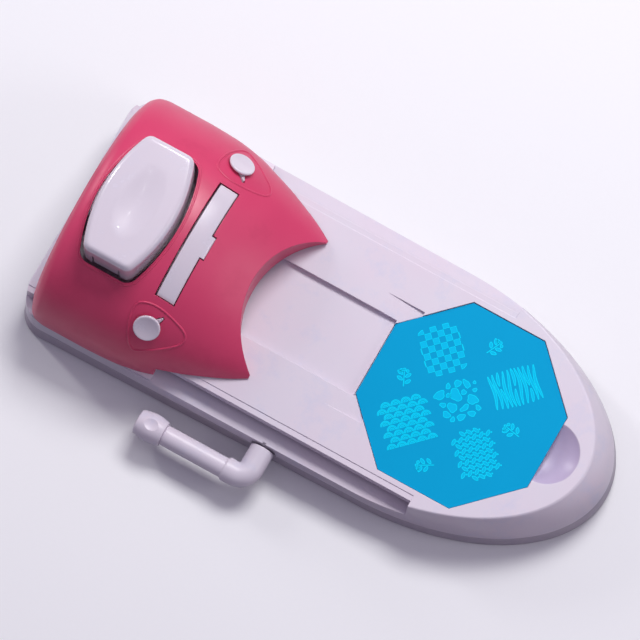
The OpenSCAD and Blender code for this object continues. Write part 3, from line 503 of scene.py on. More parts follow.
def backdrop_paper():
    # Paper, matt: pale and even, with a tooth that hardly shows
    m, place = new_material("Matt paper backdrop")
    pale = picked("floor")
    tooth = add(m, "ShaderNodeTexNoise", {"Vector": place, "Scale": 1000 / 1.111, "Detail": 2})
    tone = add(m, "ShaderNodeMix", {"Factor": tooth, "A": rgba(pale), "B": rgba(pale, 0.985)},
               data_type="RGBA")
    # Pale where it is seen, in a mirror too; duller where it only throws light up at the object
    ray = add(m, "ShaderNodeLightPath")
    glossy = add(m, "ShaderNodeMath", {0: ray.outputs["Is Camera Ray"], 1: ray.outputs["Is Glossy Ray"]},
                 operation="MAXIMUM")
    seen = add(m, "ShaderNodeMath", {0: glossy, 1: ray.outputs["Is Transmission Ray"]},
               operation="MAXIMUM")
    sheet = add(m, "ShaderNodeMix", {"Factor": seen, "A": rgba(picked("bounce")),
                                     "B": tone}, data_type="RGBA")
    paper = add(m, "ShaderNodeBsdfPrincipled", {"Base Color": sheet, "Roughness": 0.9,
                                                "Specular IOR Level": 0.1})
    # Far from the object and its shadow the paper keeps its pale tone, so that low views end on it
    reach = add(m, "ShaderNodeVectorMath", {0: place}, operation="LENGTH")
    far = add(m, "ShaderNodeMapRange", {"Value": reach, "From Min": 0.3, "From Max": 0.9, "To Max": 1})
    share = add(m, "ShaderNodeMath", {0: far, 1: seen}, operation="MULTIPLY")
    glow = add(m, "ShaderNodeEmission", {"Color": rgba(pale), "Strength": 0.98})
    return close(m, add(m, "ShaderNodeMixShader", {0: share, 1: paper, 2: glow}))


# ---------------------------------------------------------------- base

SIDE_DRAFT = 1.8
REAR_FLARE = 5.2
CORNER_R = 11.5
NOSE_LEN = 89
NOSE_LEAN = 10.1
LEDGE_Z = 17
PARTING_Z = 9
# Rounding beside the parting line: distance from it and inset
PARTING_LIP = [(0, 0.4), (0.15, 0.1), (0.4, 0)]
WALL = 2.2
SKIN = 1.7
LEDGE_SKIN = 1.6
# Steps round the nose and the corners of a wall that isn't seen
ROUGH = (48, 6)
SLOT_START = 3
SLOT_ROOF = 19.5
SLOT_END = 180.6
REAR_X = from_rear(-1)
FRONT_X = from_rear(SLOT_END)
REBATE_W = 2.5
REBATE_DEPTH = 0.3
CHANNEL_FLOOR = 22.4
CHANNEL_END = 138.7
# Run-on ramps beside the channel: start and end from the rear, width and depth
RAMP_START, RAMP_END, RAMP_W, RAMP_DEPTH = 130, 147, 8.4, 1.3
PLATE_X = from_rear(179)
PLATE_GAP = 0.6
PLATE_SEAT_Z = 23.5
SCOOP_R = 13.5
SCOOP_DEPTH = 5
SHAFT_X = -7.5
COUNTER_X = -18.7
SHAFT_Z = 11.604
SHAFT_HOLE_R = 1.55
OUTSIDE_Y = -60
BUSH_SEAT_Y = -51.4
BUSH_END_Y = -47.4
BUSH_R, FLANGE_R = 4.2, 5.4
# Screws of the tray: distance from the side, tip, hole in the shell, and hole and head pocket in the tray
SCREW_IN = 2.4
SCREW_TIP_Z = 14.4
PILOT_R, SCREW_HOLE_R, SCREW_POCKET_R, SCREW_POCKET_Z = 0.9, 1.1, 2, 3.4
# Bearing posts: start and end across the machine, and what stands over the shaft
TRAY_FLOOR = 1.9
POSTS = ((-42.6, -40.1, 5), (-24.1, -21.6, 3.6))


def outline(z, inset, nose_steps=150, corner_steps=14):
    """Plan of the base at a height, drawn in by an inset."""
    deck, half, _, _ = base_sizes()
    end = values("base").length / MM / 2
    w = half - SIDE_DRAFT / 2 * (z / deck) ** 1.5 - inset
    tip = end - NOSE_LEAN * (z / deck) ** 2.5 - inset
    rear_w = w + REAR_FLARE / 2 * (1 - z / deck)
    nose = NOSE_LEN - inset
    r = CORNER_R - inset / 2
    corner = inset - end + r
    plan = arc(corner, r - rear_w, r, 180, 270, corner_steps)
    plan += [(tip - nose + nose * cos(a), w * sin(a)) for a in spread(-pi / 2, pi / 2, nose_steps)]
    return at_height(plan + arc(corner, rear_w - r, r, 90, 180, corner_steps), z)


def levels(name, steps, *fineness):
    """Solid through outlines of the base, each given by its height and inset."""
    return loft(name, [outline(z, inset, *fineness) for z, inset in steps])


def rounded_edge(z0, z1, inset):
    """Levels of a rounded upper edge."""
    return [(z0 + (z1 - z0) * sin(a), inset * (1 - cos(a))) for a in spread(0, pi / 2, 6)]


def octagon(size):
    """Plan of the plate's place at a size across its flats."""
    r = size / 2 / cos(pi / 8)
    return [(PLATE_X + r * cos(pi / 8 + a), r * sin(pi / 8 + a)) for a in turns(8)]


def tray_screw_places():
    _, half, _, _ = base_sizes()
    rows = [(from_rear(20), half - SCREW_IN), (SHAFT_X - 16, half - SCREW_IN),
            (from_rear(SLOT_END + 9.4), half - 16.4), (from_rear(228), SCOOP_R + 0.5)]
    return [(x, s * y) for x, y in rows for s in SIDES]


def bush_holes():
    """Hole for the bush in the side wall, and the seat of its flange."""
    return [crosswise(SHAFT_X, OUTSIDE_Y, BUSH_END_Y, BUSH_R),
            crosswise(SHAFT_X, OUTSIDE_Y, BUSH_SEAT_Y, FLANGE_R, 64)]


def shell_room():
    """Hollow of the upper moulding, without the walls and posts that stand in it."""
    deck, half, rail, channel = base_sizes()
    seat = values("base").plate_size / MM + PLATE_GAP
    room = levels("room", [(z, WALL) for z in (PARTING_Z - 1, PARTING_Z + 1, LEDGE_Z, deck - WALL)], *ROUGH)
    kept = [block(REAR_X, from_rear(141), -channel - SKIN, channel + SKIN, SLOT_ROOF, deck),
            prism(octagon(seat + 4), PLATE_SEAT_Z - SKIN, deck),
            block(PLATE_X, from_rear(243), -SCOOP_R - SKIN, SCOOP_R + SKIN, deck - SCOOP_DEPTH - SKIN, deck)]
    for s in SIDES:
        for x0, x1, y1, z0, z1 in ((REAR_X, FRONT_X + WALL, half, LEDGE_Z - LEDGE_SKIN, LEDGE_Z),
                                   (REAR_X, FRONT_X + WALL, rail, SLOT_ROOF, deck),
                                   (FRONT_X, FRONT_X + WALL, half, LEDGE_Z - LEDGE_SKIN, deck),
                                   (REAR_X, from_rear(SLOT_START), rail, LEDGE_Z - LEDGE_SKIN, deck)):
            kept.append(side_block(s, x0, x1, rail - WALL, y1, z0, z1))
    kept += [upright(x, y, PARTING_Z - 2, (LEDGE_Z if abs(y) > rail else deck) - 1, 2)
             for x, y in tray_screw_places()]
    return cut(room, kept)


def deck_cuts():
    """Ledges and rebates, run-on ramps, finger channel, plate seat and thumb scoop."""
    deck, half, rail, channel = base_sizes()
    plate, above = values("base").plate_size / MM, deck + 1
    tools = []
    for s in SIDES:
        tools += [side_block(s, REAR_X, FRONT_X, rail, half + 6, LEDGE_Z, above),
                  side_block(s, REAR_X, FRONT_X + 0.01, rail - REBATE_W, rail + 1,
                             deck - REBATE_DEPTH, above)]
    start, end = from_rear(RAMP_START), from_rear(RAMP_END)
    ramp = [(start, deck), (end, deck - RAMP_DEPTH), (end, above), (start, above)]
    tools += [loft("tool", [[(x, s * y, z) for x, z in ramp] for y in (channel - 1, channel + RAMP_W)])
              for s in SIDES]
    dish = (SCOOP_R ** 2 + SCOOP_DEPTH ** 2) / (2 * SCOOP_DEPTH)
    return tools + [block(REAR_X, from_rear(CHANNEL_END), -channel, channel, CHANNEL_FLOOR, above),
                    prism(octagon(plate + PLATE_GAP), PLATE_SEAT_Z, deck + 20),
                    ball(PLATE_X + plate / 2, 0, deck - SCOOP_DEPTH + dish, dish, 256)]


class PRESS_OT_base(bpy.types.Operator):
    """Builds the two mouldings of the base with the deck, channel, ledges, plate seat and thumb scoop"""
    bl_idname = "press.build_base"
    bl_label = "Base mouldings"

    def execute(self, context):
        deck = base_sizes()[0]
        screws = tray_screw_places()
        shell = levels("shell", [(PARTING_Z + d, inset) for d, inset in PARTING_LIP]
                       + [(z, 0) for z in (13, 17, 19, 21, 22.8)] + rounded_edge(deck - 0.7, deck, 0.6))
        cut(shell, [shell_room()] + deck_cuts() + bush_holes()
            + [upright(x, y, PARTING_Z - 2, SCREW_TIP_Z, PILOT_R, 24) for x, y in screws])
        finish_piece(shell, "upper_moulding", "base", shell_abs, ["base_shell"])

        tray = levels("tray", [(0, 0.8), (0.25, 0.25), (0.8, 0), (4, 0)]
                      + [(PARTING_Z - d, inset) for d, inset in reversed(PARTING_LIP)])
        inside = levels("inside", [(2, WALL), (PARTING_Z + 1, WALL)], *ROUGH)
        cut(inside, [upright(x, y, 1, PARTING_Z, 3.3) for x, y in screws])
        cut(tray, [inside])
        posts = [block(COUNTER_X - 5, SHAFT_X + 6, y0, y1, TRAY_FLOOR, SHAFT_Z + over)
                 for y0, y1, over in POSTS]
        posts.append(block(SHAFT_X - 5, SHAFT_X + 6, 6, 8.5, TRAY_FLOOR, 15.5))
        posts += [block(x, x + 1.6, -30, 30, TRAY_FLOOR, 5)
                  for x in (SHAFT_X - 46, SHAFT_X + 34, from_rear(SLOT_END + 20))]
        cut(tray, posts, "UNION")
        bores = bush_holes() + [crosswise(SHAFT_X, -44, -40, 2.55), crosswise(SHAFT_X, -25, 9, SHAFT_HOLE_R),
                                crosswise(COUNTER_X, -44, -20, SHAFT_HOLE_R)]
        for x, y in screws:
            bores += [upright(x, y, -1, SCREW_POCKET_Z, SCREW_POCKET_R),
                      upright(x, y, -1, 11, SCREW_HOLE_R, 24)]
        cut(tray, bores)
        finish_piece(tray, "lower_moulding", "base", tray_abs, ["base_tray"])
        return {"FINISHED"}


# ---------------------------------------------------------------- cover

SKIRT_Z = 19
# Distance from the rear end, half width, crown height and roundness of the cover
STATIONS = [(4.6, 46.5, 36, 2), (6.4, 50.5, 39.2, 2), (9.5, 52.8, 41, 2), (14, 53.5, 41.7, 2),
            (30, 53.5, 42, 2), (44, 53, 41.2, 2), (56, 51.2, 38.7, 2), (66, 48.2, 34.4, 2.05),
            (74, 45.4, 30, 2.2), (82, 42.2, 25, 2.3), (90, 38.8, 20.2, 2.45), (98, 34.8, 15.4, 2.6)]
COVER_REAR, COVER_FRONT = STATIONS[0][0], STATIONS[-1][0]
ARCH_STEPS = 96
# Concave front: a round cut across the cover
FRONT_CUT_R = 39
FRONT_CUT_X = from_rear(81.6 + FRONT_CUT_R)
RUNNER_FRONT = 62.6
BRIDGE_Z = 39.8
# Higher than anything on the cover
CLEAR_Z = 90
# Cover screws: distance from the rear end and from the middle
COVER_SCREWS = ((14.5, 31), (60.2, 31.5))
SCRAPER_X = 55.8
STRIP_LEN = 53
BUTTON_X = 54
BUTTON_Y = 38.3
BUTTON_Z = 45.15
# Turn of a button's pointed key about the button, in degrees
KEY_TURN = -60
CAP_X = from_rear(28.6)
CAP_BULGE = 6
CAP_CORNER = 4
# Raised outline round a button, shaped like a plectrum: places beside the button's middle
PICK_OUTLINE = [(-8.1, -3.3), (-6.3, -6.3), (-0.6, -7.9), (6.5, -7.4), (13.8, -5.5), (15.6, -3.1),
                (13.6, 0.3), (7.0, 5.1), (0.3, 8.7), (-2.6, 9.0), (-5.2, 6.9), (-7.7, 1.8)]


def smooth_lookup(x, column):
    """Value between stations on a curve that never overshoots them."""
    xs = [s[0] for s in STATIONS]
    ys = [s[column] for s in STATIONS]
    slopes = [(ys[i + 1] - ys[i]) / (xs[i + 1] - xs[i]) for i in range(len(xs) - 1)]
    tangents = [slopes[0]] + [2 * a * b / (a + b) if a * b > 0 else 0 for a, b in zip(slopes, slopes[1:])]
    tangents.append(slopes[-1])
    x = min(max(x, xs[0]), xs[-1])
    i = max(k for k in range(len(xs) - 1) if xs[k] <= x)
    h = xs[i + 1] - xs[i]
    t = (x - xs[i]) / h
    return (ys[i] * (1 + 2 * t) * (1 - t) ** 2 + tangents[i] * h * t * (1 - t) ** 2
            + ys[i + 1] * t * t * (3 - 2 * t) + tangents[i + 1] * h * t * t * (t - 1))


def arch(t, n):
    return max(0.0, 1 - abs(t) ** n) ** (1 / n)


def cover_z(x, y):
    """Height of the cover's outer surface at a distance from the rear end."""
    return SKIRT_Z + smooth_lookup(x, 2) * arch(y / smooth_lookup(x, 1), smooth_lookup(x, 3))


def cover_normal(x, y, step=0.6):
    slope_x = (cover_z(x + step, y) - cover_z(x - step, y)) / (2 * step)
    slope_y = (cover_z(x, y + step) - cover_z(x, y - step)) / (2 * step)
    return Vector((-slope_x, -slope_y, 1)).normalized()


def cover_ring(x, inset=0, below=0, at=None):
    """Section of the cover at a distance from the rear end, drawn in by an inset."""
    w, h, n = (smooth_lookup(x, column) for column in (1, 2, 3))
    w, h = w - inset, h - inset
    place = from_rear(x) if at is None else at
    crown = [(place, w * cos(a), SKIRT_Z + h * arch(cos(a), n)) for a in spread(0, pi, ARCH_STEPS)]
    return [(place, w, SKIRT_Z - below)] + crown + [(place, -w, SKIRT_Z - below)]


def cap_outline(grow):
    """Plan of the press cap grown by a distance: bulging sides, straight ends, rounded corners."""
    side_steps, corner_steps, end_steps = 28, 8, 4
    carriage = values("carriage")
    half_len, half_mid = carriage.cap_length / MM / 2, carriage.cap_width / MM / 2
    side_r = (half_len ** 2 + CAP_BULGE ** 2) / (2 * CAP_BULGE)
    centre = half_mid - side_r
    inner_y = half_len - CAP_CORNER
    inner_x = centre + sqrt((side_r - CAP_CORNER) ** 2 - inner_y ** 2)
    tilt = degrees(asin(inner_y / (side_r - CAP_CORNER)))
    r = CAP_CORNER + grow
    quarter = arc(centre, 0, side_r + grow, 0, tilt, side_steps)[:-1]
    quarter += arc(inner_x, inner_y, r, tilt, 90, corner_steps)
    quarter += [(x, inner_y + r) for x in spread(inner_x, 0, end_steps)[1:]]
    upper = quarter + [(-x, y) for x, y in reversed(quarter[:-1])]
    return [(CAP_X + x, y) for x, y in upper + [(x, -y) for x, y in reversed(upper[1:-1])]]


def closed_curve(places, steps=10):
    """Smooth closed curve through a few places."""
    def between(a, b, c, d, t):
        return 0.5 * (2 * b + (c - a) * t + (2 * a - 5 * b + 4 * c - d) * t * t
                      + (3 * b - a - 3 * c + d) * t ** 3)

    points = []
    for i, b in enumerate(places):
        near = places[i - 1], b, places[(i + 1) % len(places)], places[(i + 2) % len(places)]
        for k in range(steps):
            points.append([between(*(p[j] for p in near), k / steps) for j in (0, 1)])
    return points


def resample(points, step):
    """Closed path with points an equal step apart."""
    loop = [Vector(p) for p in points] + [Vector(points[0])]
    lengths = [0]
    for a, b in zip(loop, loop[1:]):
        lengths.append(lengths[-1] + (b - a).length)
    count = max(8, round(lengths[-1] / step))
    path, k = [], 0
    for i in range(count):
        d = lengths[-1] * i / count
        while lengths[k + 1] < d:
            k += 1
        span = lengths[k + 1] - lengths[k] or 1
        path.append(loop[k].lerp(loop[k + 1], (d - lengths[k]) / span))
    return path


def relief_line(name, path):
    """Raised half-round line along a closed path on the cover, given from the rear end."""
    carriage = values("carriage")
    half, height = carriage.relief_width / MM / 2, carriage.relief_height / MM
    rings = []
    for i, p in enumerate(path):
        along = (path[(i + 1) % len(path)] - path[i - 1]).normalized()
        normal = cover_normal(p.x, p.y)
        climb = -(normal.x * along.x + normal.y * along.y) / normal.z
        across = normal.cross(Vector((along.x, along.y, climb)).normalized()) * half
        foot = Vector((from_rear(p.x), p.y, cover_z(p.x, p.y)))
        rings.append([foot + across * cos(a) + normal * (height * sin(a) - 0.02) for a in spread(0, pi, 8)]
                     + [foot + across * c - normal * 0.35 for c in (-0.9, 0.9)])
    line = mesh_object("relief", rings, quads(len(rings), len(rings[0]), closed=True))
    finish_piece(line, name, "carriage", cover_abs, (), 60, False)


def button_frame(s):
    """Matrix whose Z axis stands on the cover at a release button, along the joint's axis."""
    joint = "button_" + dict(BUTTONS)[s] + "_press"
    n = next(Vector(j["axis"]) for j in frame["joints"] if j["name"] == joint).normalized()
    foot = Vector((from_rear(BUTTON_X), s * BUTTON_Y, BUTTON_Z))
    return (Matrix.Translation(foot) @ Matrix.Rotation(atan2(n.x, n.z), 4, "Y")
            @ Matrix.Rotation(-asin(n.y), 4, "X"))


def button_key(s, length, half_root, half_tip, z0, z1):
    """Pointed key that keeps a button from turning."""
    key = prism([(0, -half_root), (length, -half_tip), (length, half_tip), (0, half_root)], z0, z1)
    key.data.transform(Matrix.Rotation(radians(KEY_TURN * s), 4, "Z"))
    return key


class PRESS_OT_cover(bpy.types.Operator):
    """Builds the pink cover with its concave front, openings and raised lines"""
    bl_idname = "press.build_cover"
    bl_label = "Cover"

    def execute(self, context):
        wall = values("carriage").wall / MM
        deck, _, rail, _ = base_sizes()
        xs = spread(COVER_REAR, 9.1, 10) + spread(9.6, 14, 4) + spread(15.5, COVER_FRONT, 55)
        screws = [(from_rear(x), s * y) for x, y in COVER_SCREWS for s in SIDES]
        cover = loft("cover", [cover_ring(x) for x in xs])
        hollow = loft("hollow", [cover_ring(COVER_REAR, wall, 1, at=from_rear(-0.4))]
                      + [cover_ring(x, wall, 1) for x in xs[::2]])
        cut(hollow, [upright(FRONT_CUT_X, 0, 0, CLEAR_Z, FRONT_CUT_R + wall, 128)]
            + [upright(x, y, BRIDGE_Z, CLEAR_Z, 3) for x, y in screws])
        tools = [hollow, upright(FRONT_CUT_X, 0, -5, 95, FRONT_CUT_R, 360),
                 block(from_rear(-6), from_rear(110), -rail - 1.8, rail + 1.8, 0, deck + 0.8),
                 block(from_rear(RUNNER_FRONT), from_rear(110), OUTSIDE_Y, -OUTSIDE_Y, 0, deck + 0.8),
                 prism(cap_outline(1.6), 30, CLEAR_Z),
                 block(from_rear(SCRAPER_X - 4.8), from_rear(SCRAPER_X + 4.3), -STRIP_LEN / 2 - 0.5,
                       STRIP_LEN / 2 + 0.5, BRIDGE_Z, CLEAR_Z),
                 block(from_rear(SCRAPER_X), from_rear(SCRAPER_X + 5.9), -5.6, 5.6, BRIDGE_Z, CLEAR_Z)]
        for s in SIDES:
            # Hole of the stem, notch of the key, and a flat seat, so that the head can sink below the crown
            holes = [upright(0, 0, -8, 12, 3.7), button_key(s, 7.75, 2.75, 0.55, -6, 6),
                     upright(0, 0, 0.12, 3.12, values("carriage").button_size / MM / 2 + 0.4, 96)]
            for hole in holes:
                hole.data.transform(button_frame(s))
            tools += holes
        cut(cover, tools + [upright(x, y, 0, 45, 0.9, 24) for x, y in screws])
        finish_piece(cover, "cover_shell", "carriage", cover_abs, ["cover"], 24)

        rim = [(x + HALF_LENGTH, y) for x, y in cap_outline(2.6)]
        relief_line("cover_line_cap", resample(rim, 1.2))
        for s, word in BUTTONS:
            pick = closed_curve([(BUTTON_X + u, s * (BUTTON_Y + v)) for u, v in PICK_OUTLINE])
            relief_line("cover_line_" + word, resample(pick, 0.8))
        return {"FINISHED"}


# ---------------------------------------------------------------- press cap

CAP_BOTTOM = 51.5
CAP_EDGE = 3
CAP_INSET = 2.5
CAP_SIDE_TOP = 58
DIMPLE_DEPTH = 1.2
# Half length and half width of the dimple, and of the form that crowns the cap by half a millimetre
DIMPLE = (8.6, 17)
CROWN = (16, 27)


def cap_height(x, y):
    """Height of the cap's top with its crown and its finger dimple."""
    def reach(size):
        return ((x - CAP_X) / size[0]) ** 2 + (y / size[1]) ** 2
    return (values("carriage").cap_top / MM - 0.5 * reach(CROWN)
            - DIMPLE_DEPTH * max(0, 1 - reach(DIMPLE)) ** 1.6)


class PRESS_OT_cap(bpy.types.Operator):
    """Builds the press cap with its rolled rim, finger dimple, slits and latch steps"""
    bl_idname = "press.build_cap"
    bl_label = "Press cap"

    def execute(self, context):
        top = values("carriage").cap_top / MM
        half_len = values("carriage").cap_length / MM / 2
        # Inside of the roof, inner and outer wall
        rings = [at_height(cap_outline(grow), z) for grow, z in (
            (-2, top - 3.4), (-2, CAP_BOTTOM), (-0.3, CAP_BOTTOM), (0, CAP_BOTTOM + 0.3), (0, CAP_SIDE_TOP))]
        for a in spread(0, pi / 2, 8):
            rings.append([(x, y, cap_height(x, y) - CAP_EDGE * (1 - sin(a)))
                          for x, y in cap_outline(-CAP_INSET * (1 - cos(a)))])
        rim = cap_outline(-CAP_INSET)
        for share in spread(1, 0, 26)[1:-1]:
            plan = [(CAP_X + (x - CAP_X) * share, y * share) for x, y in rim]
            rings.append([(x, y, cap_height(x, y)) for x, y in plan])
        cap = loft("cap", rings)
        tools = []
        for s in SIDES:
            # Two slits, and the step of the latch between them
            for x0, x1, depth, z in ((-6.4, -5.6, 3, top - 8), (5.6, 6.4, 3, top - 8),
                                     (-6.1, 6.1, 0.7, CAP_BOTTOM + 3)):
                tools.append(side_block(s, CAP_X + x0, CAP_X + x1, half_len - depth, half_len + 3,
                                        CAP_BOTTOM - 1, z))
        cut(cap, tools)
        finish_piece(cap, "press_cap_shell", "press", cap_abs, ["press_cap"], 28)
        return {"FINISHED"}


SPRING_Y = 19
SPRING_R = 3
WIRE_R = 0.35
SPRING_FOOT = BRIDGE_Z + 0.05
SPRING_LEN = 20.1
SPRING_TURNS = 8


class PRESS_OT_springs(bpy.types.Operator):
    """Winds the two return springs under the press cap"""
    bl_idname = "press.build_springs"
    bl_label = "Return springs"

    def execute(self, context):
        sides, count = 8, 24 * SPRING_TURNS
        heights = spread(SPRING_FOOT + WIRE_R, SPRING_FOOT + SPRING_LEN - WIRE_R, count)
        rings = []
        for s in SIDES:
            for a, z in zip(spread(0, 2 * pi * SPRING_TURNS, count), heights):
                out = Vector((cos(a), sin(a), 0))
                rings.append(ring(Vector((CAP_X, s * SPRING_Y, z)) + out * SPRING_R, out, UP, WIRE_R, sides))
        rows = count + 1
        faces = tube_faces(rows, sides) + tube_faces(rows, sides, rows * sides)
        springs = mesh_object("springs", rings, faces)
        finish_piece(springs, "return_springs", "carriage", spring_steel,
                     ["press_springs"], 40, False)
        1 - (values("carriage").cap_travel / MM + 0.05) / SPRING_LEN
        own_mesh(springs)
        return {"FINISHED"}


# ---------------------------------------------------------------- buttons, scraper and lever

# Release button, as heights above the cover: stem's foot, head's underside, start of its rounding, its rim
STEM_FOOT, HEAD_LOW, HEAD_SIDE, HEAD_TOP = -4.6, 1.2, 1.8, 2.4
HEAD_ROUND = 0.5
HEAD_DISH = 0.45


class PRESS_OT_buttons(bpy.types.Operator):
    """Builds the two release buttons with dished heads, stems and keys"""
    bl_idname = "press.build_buttons"
    bl_label = "Release buttons"

    def execute(self, context):
        r = values("carriage").button_size / MM / 2
        flat = r - HEAD_ROUND
        profile = [(0.01, STEM_FOOT), (4.5, STEM_FOOT), (4.5, -3.7), (3.5, -3.7), (3.5, HEAD_LOW),
                   (r - 0.3, HEAD_LOW), (r - 0.08, HEAD_LOW + 0.12), (r, HEAD_LOW + 0.35), (r, HEAD_SIDE)]
        profile += [(r - HEAD_ROUND * (1 - cos(a)), HEAD_SIDE + (HEAD_TOP - HEAD_SIDE) * sin(a))
                    for a in spread(0, pi / 2, 6)[1:]]
        profile += [(flat * share, HEAD_TOP - HEAD_DISH * (1 - share ** 2))
                    for share in spread(1, 0, 10)[1:-1]]
        profile.append((0.01, HEAD_TOP - HEAD_DISH))
        for s, word in BUTTONS:
            button = lathe("button", profile)
            cut(button, [button_key(s, 7.4, 2.4, 0.2, -3.7, 0.15)], "UNION")
            button.data.transform(button_frame(s))
            node = "release_button_" + word
            finish_piece(button, "button_" + word + "_head", "button_" + word, cap_abs, [node], 35)
        return {"FINISHED"}


# Scraper: depth of its sides, how far it lies below the cover, and its rounded edge
STRIP_SIDE = 2.4
STRIP_SINK = 0.3
STRIP_EDGE = 0.3
WEB_Z = 29


class PRESS_OT_scraper(bpy.types.Operator):
    """Builds the scraper strip that follows the cover, with its tab and web"""
    bl_idname = "press.build_scraper"
    bl_label = "Scraper strip"

    def execute(self, context):
        half = STRIP_LEN / 2
        x0, x1 = SCRAPER_X - 4.05, SCRAPER_X + 3.85
        section = [(x0, STRIP_SIDE), (x0, STRIP_EDGE), (x0 + STRIP_EDGE, 0)]
        section += [(x, 0) for x in spread(x0, x1, 6)[1:-1]]
        section += [(x1 - STRIP_EDGE, 0), (x1, STRIP_EDGE), (x1, STRIP_SIDE)]

        def height(x, y, drop):
            rounded = STRIP_EDGE if abs(y) > half - 0.1 and drop < STRIP_SIDE else 0
            return cover_z(x, y) - STRIP_SINK - drop - rounded

        strip = loft("strip", [[(from_rear(x), y, height(x, y, drop)) for x, drop in section]
                               for y in spread(-half, half, 72)])
        xs = spread(SCRAPER_X + 2, SCRAPER_X + 5.75, 8)
        section = [(xs[0], STRIP_SIDE)] + [(x, 0) for x in xs[:-1]]
        section += [(xs[-1] - 0.02, 0.25), (xs[-1], STRIP_SIDE)]
        tab = loft("tab", [[(from_rear(x), y, cover_z(x, y) - STRIP_SINK - 0.02 - drop)
                            for x, drop in section] for y in spread(-5, 5, 10)])
        cut(strip, [tab], "UNION")
        rings = []
        for y in spread(-25, 25, 40):
            top = cover_z(SCRAPER_X, y) - 1.6
            rings.append([(from_rear(SCRAPER_X + dx), y, z)
                          for dx, z in ((-1.6, WEB_Z), (1.6, WEB_Z), (1.6, top), (-1.6, top))])
        cut(strip, [loft("web", rings)], "UNION")
        cut(strip, [side_block(s, from_rear(SCRAPER_X - 2.8), from_rear(SCRAPER_X + 2.8), 8, 20,
                               BRIDGE_Z + 0.05, BRIDGE_Z + 2) for s in SIDES], "UNION")
        # Pocket of the blade
        cut(strip, [block(from_rear(SCRAPER_X - 0.4), from_rear(SCRAPER_X + 0.4), OUTSIDE_Y, -OUTSIDE_Y,
                          WEB_Z - 1, WEB_Z + 5)])
        finish_piece(strip, "scraper_strip", "scraper", cap_abs, ["scraper_holder"], 30)
        return {"FINISHED"}


ARM_Y = -67.6
ARM_R = 4.4
ELBOW_R = 5.2
BEND_R = 5.4
REACH = 50.7
GRIP_LEN = 12.7
GRIP_R = 5.4
TENON_R = 2.58
TENON_LEN = GRIP_LEN * 0.6


def swept_tube(name, stations):
    """Tube at the height of the lever's axis, through stations: centre x, centre y, heading and radius."""
    rings = []
    for x, y, heading, r in stations:
        a = radians(heading)
        rings.append(ring(Vector((x, y, SHAFT_Z)), Vector((-sin(a), cos(a), 0)), UP, r, 64))
    return loft(name, rings)


class PRESS_OT_lever(bpy.types.Operator):
    """Builds the bent lever arm with its elbow collar and the barrel grip"""
    bl_idname = "press.build_lever"
    bl_label = "Lever"

    def execute(self, context):
        collar, grip_x = SHAFT_X - 9, SHAFT_X - REACH + GRIP_LEN
        stations = [(SHAFT_X, BUSH_SEAT_Y - 1.8, -90, ELBOW_R - 0.3),
                    (SHAFT_X, BUSH_SEAT_Y - 2.1, -90, ELBOW_R)]
        bend_x, bend_y = SHAFT_X - BEND_R, ARM_Y + BEND_R
        for turn, (x, y) in zip(spread(0, 90, 20), arc(bend_x, bend_y, BEND_R, 0, -90, 20)):
            stations.append((x, y, -90 - turn, ELBOW_R))
        stations += [(x, ARM_Y, 180, r) for x, r in (
            (collar, ELBOW_R), (collar - 0.3, ELBOW_R - 0.1), (collar - 0.8, ARM_R + 0.15),
            (collar - 1.1, ARM_R), (grip_x + 0.4, ARM_R), (grip_x, ARM_R - 0.3), (grip_x - 0.01, TENON_R),
            (grip_x - TENON_LEN, TENON_R))]
        tube = swept_tube("arm", stations)
        cut(tube, [crosswise(SHAFT_X, -40, ARM_Y, 2.5)])
        finish_piece(tube, "lever_bent_arm", "lever", shell_abs, ["lever_arm"], 35)

        profile = [(TENON_R + 0.01, TENON_LEN), (TENON_R + 0.01, 0), (GRIP_R - 0.5, 0), (GRIP_R - 0.15, 0.15),
                   (GRIP_R, 0.5)]
        profile += [(GRIP_R + 0.85 * sin(pi * share), 0.5 + (GRIP_LEN - 2.2) * share)
                    for share in spread(0, 1, 16)[1:]]
        profile += arc(4.3, GRIP_LEN - 1.5, 1.1, 0, 90, 6)[1:]
        profile += [(r, GRIP_LEN - 0.4 * (r / 4.3) ** 2) for r in (3.6, 2.6, 1.5, 0.5)] + [(0.01, GRIP_LEN)]
        grip = lathe("grip", profile)
        grip.data.transform(Matrix.Translation((grip_x, ARM_Y, SHAFT_Z)) @ Matrix.Rotation(-pi / 2, 4, "Y"))
        cut(grip, [ball(SHAFT_X - REACH + GRIP_LEN * 0.52, ARM_Y, SHAFT_Z + 15.2, 9.8, 192)])
        finish_piece(grip, "lever_barrel_grip", "lever", shell_abs, ["lever_grip"], 30)
        return {"FINISHED"}


# ---------------------------------------------------------------- pattern plate

PLATE_Z = 24.5
FILL_Z, EDGE_Z = PLATE_Z + 0.03, PLATE_Z + 0.05
EDGE_W = 0.3
# The nail-shaped fields stand at this angle to the plate's length
FIELD_TURN = 45


def nail_field(w, l, power=6):
    """Outline of a nail-shaped field, w wide and l long."""
    field = []
    for a in turns(48):
        r = (abs(cos(a)) ** power + abs(sin(a)) ** power) ** (-1 / power) / 2
        field.append((w * r * cos(a), l * r * sin(a)))
    return field


def clip(shape, field):
    """Part of a shape inside a field, or nothing where little is left."""
    for a, b in zip(field, field[1:] + field[:1]):
        side = [(b[0] - a[0]) * (p[1] - a[1]) - (b[1] - a[1]) * (p[0] - a[0]) for p in shape]
        kept = []
        for i, p in enumerate(shape):
            q = shape[i - 1]
            if (side[i] >= 0) != (side[i - 1] >= 0):
                t = side[i - 1] / (side[i - 1] - side[i])
                kept.append((q[0] + (p[0] - q[0]) * t, q[1] + (p[1] - q[1]) * t))
            if side[i] >= 0:
                kept.append(p)
        shape = kept
        if len(shape) < 3:
            return None
    return shape if abs(area(shape)) > 0.5 else None


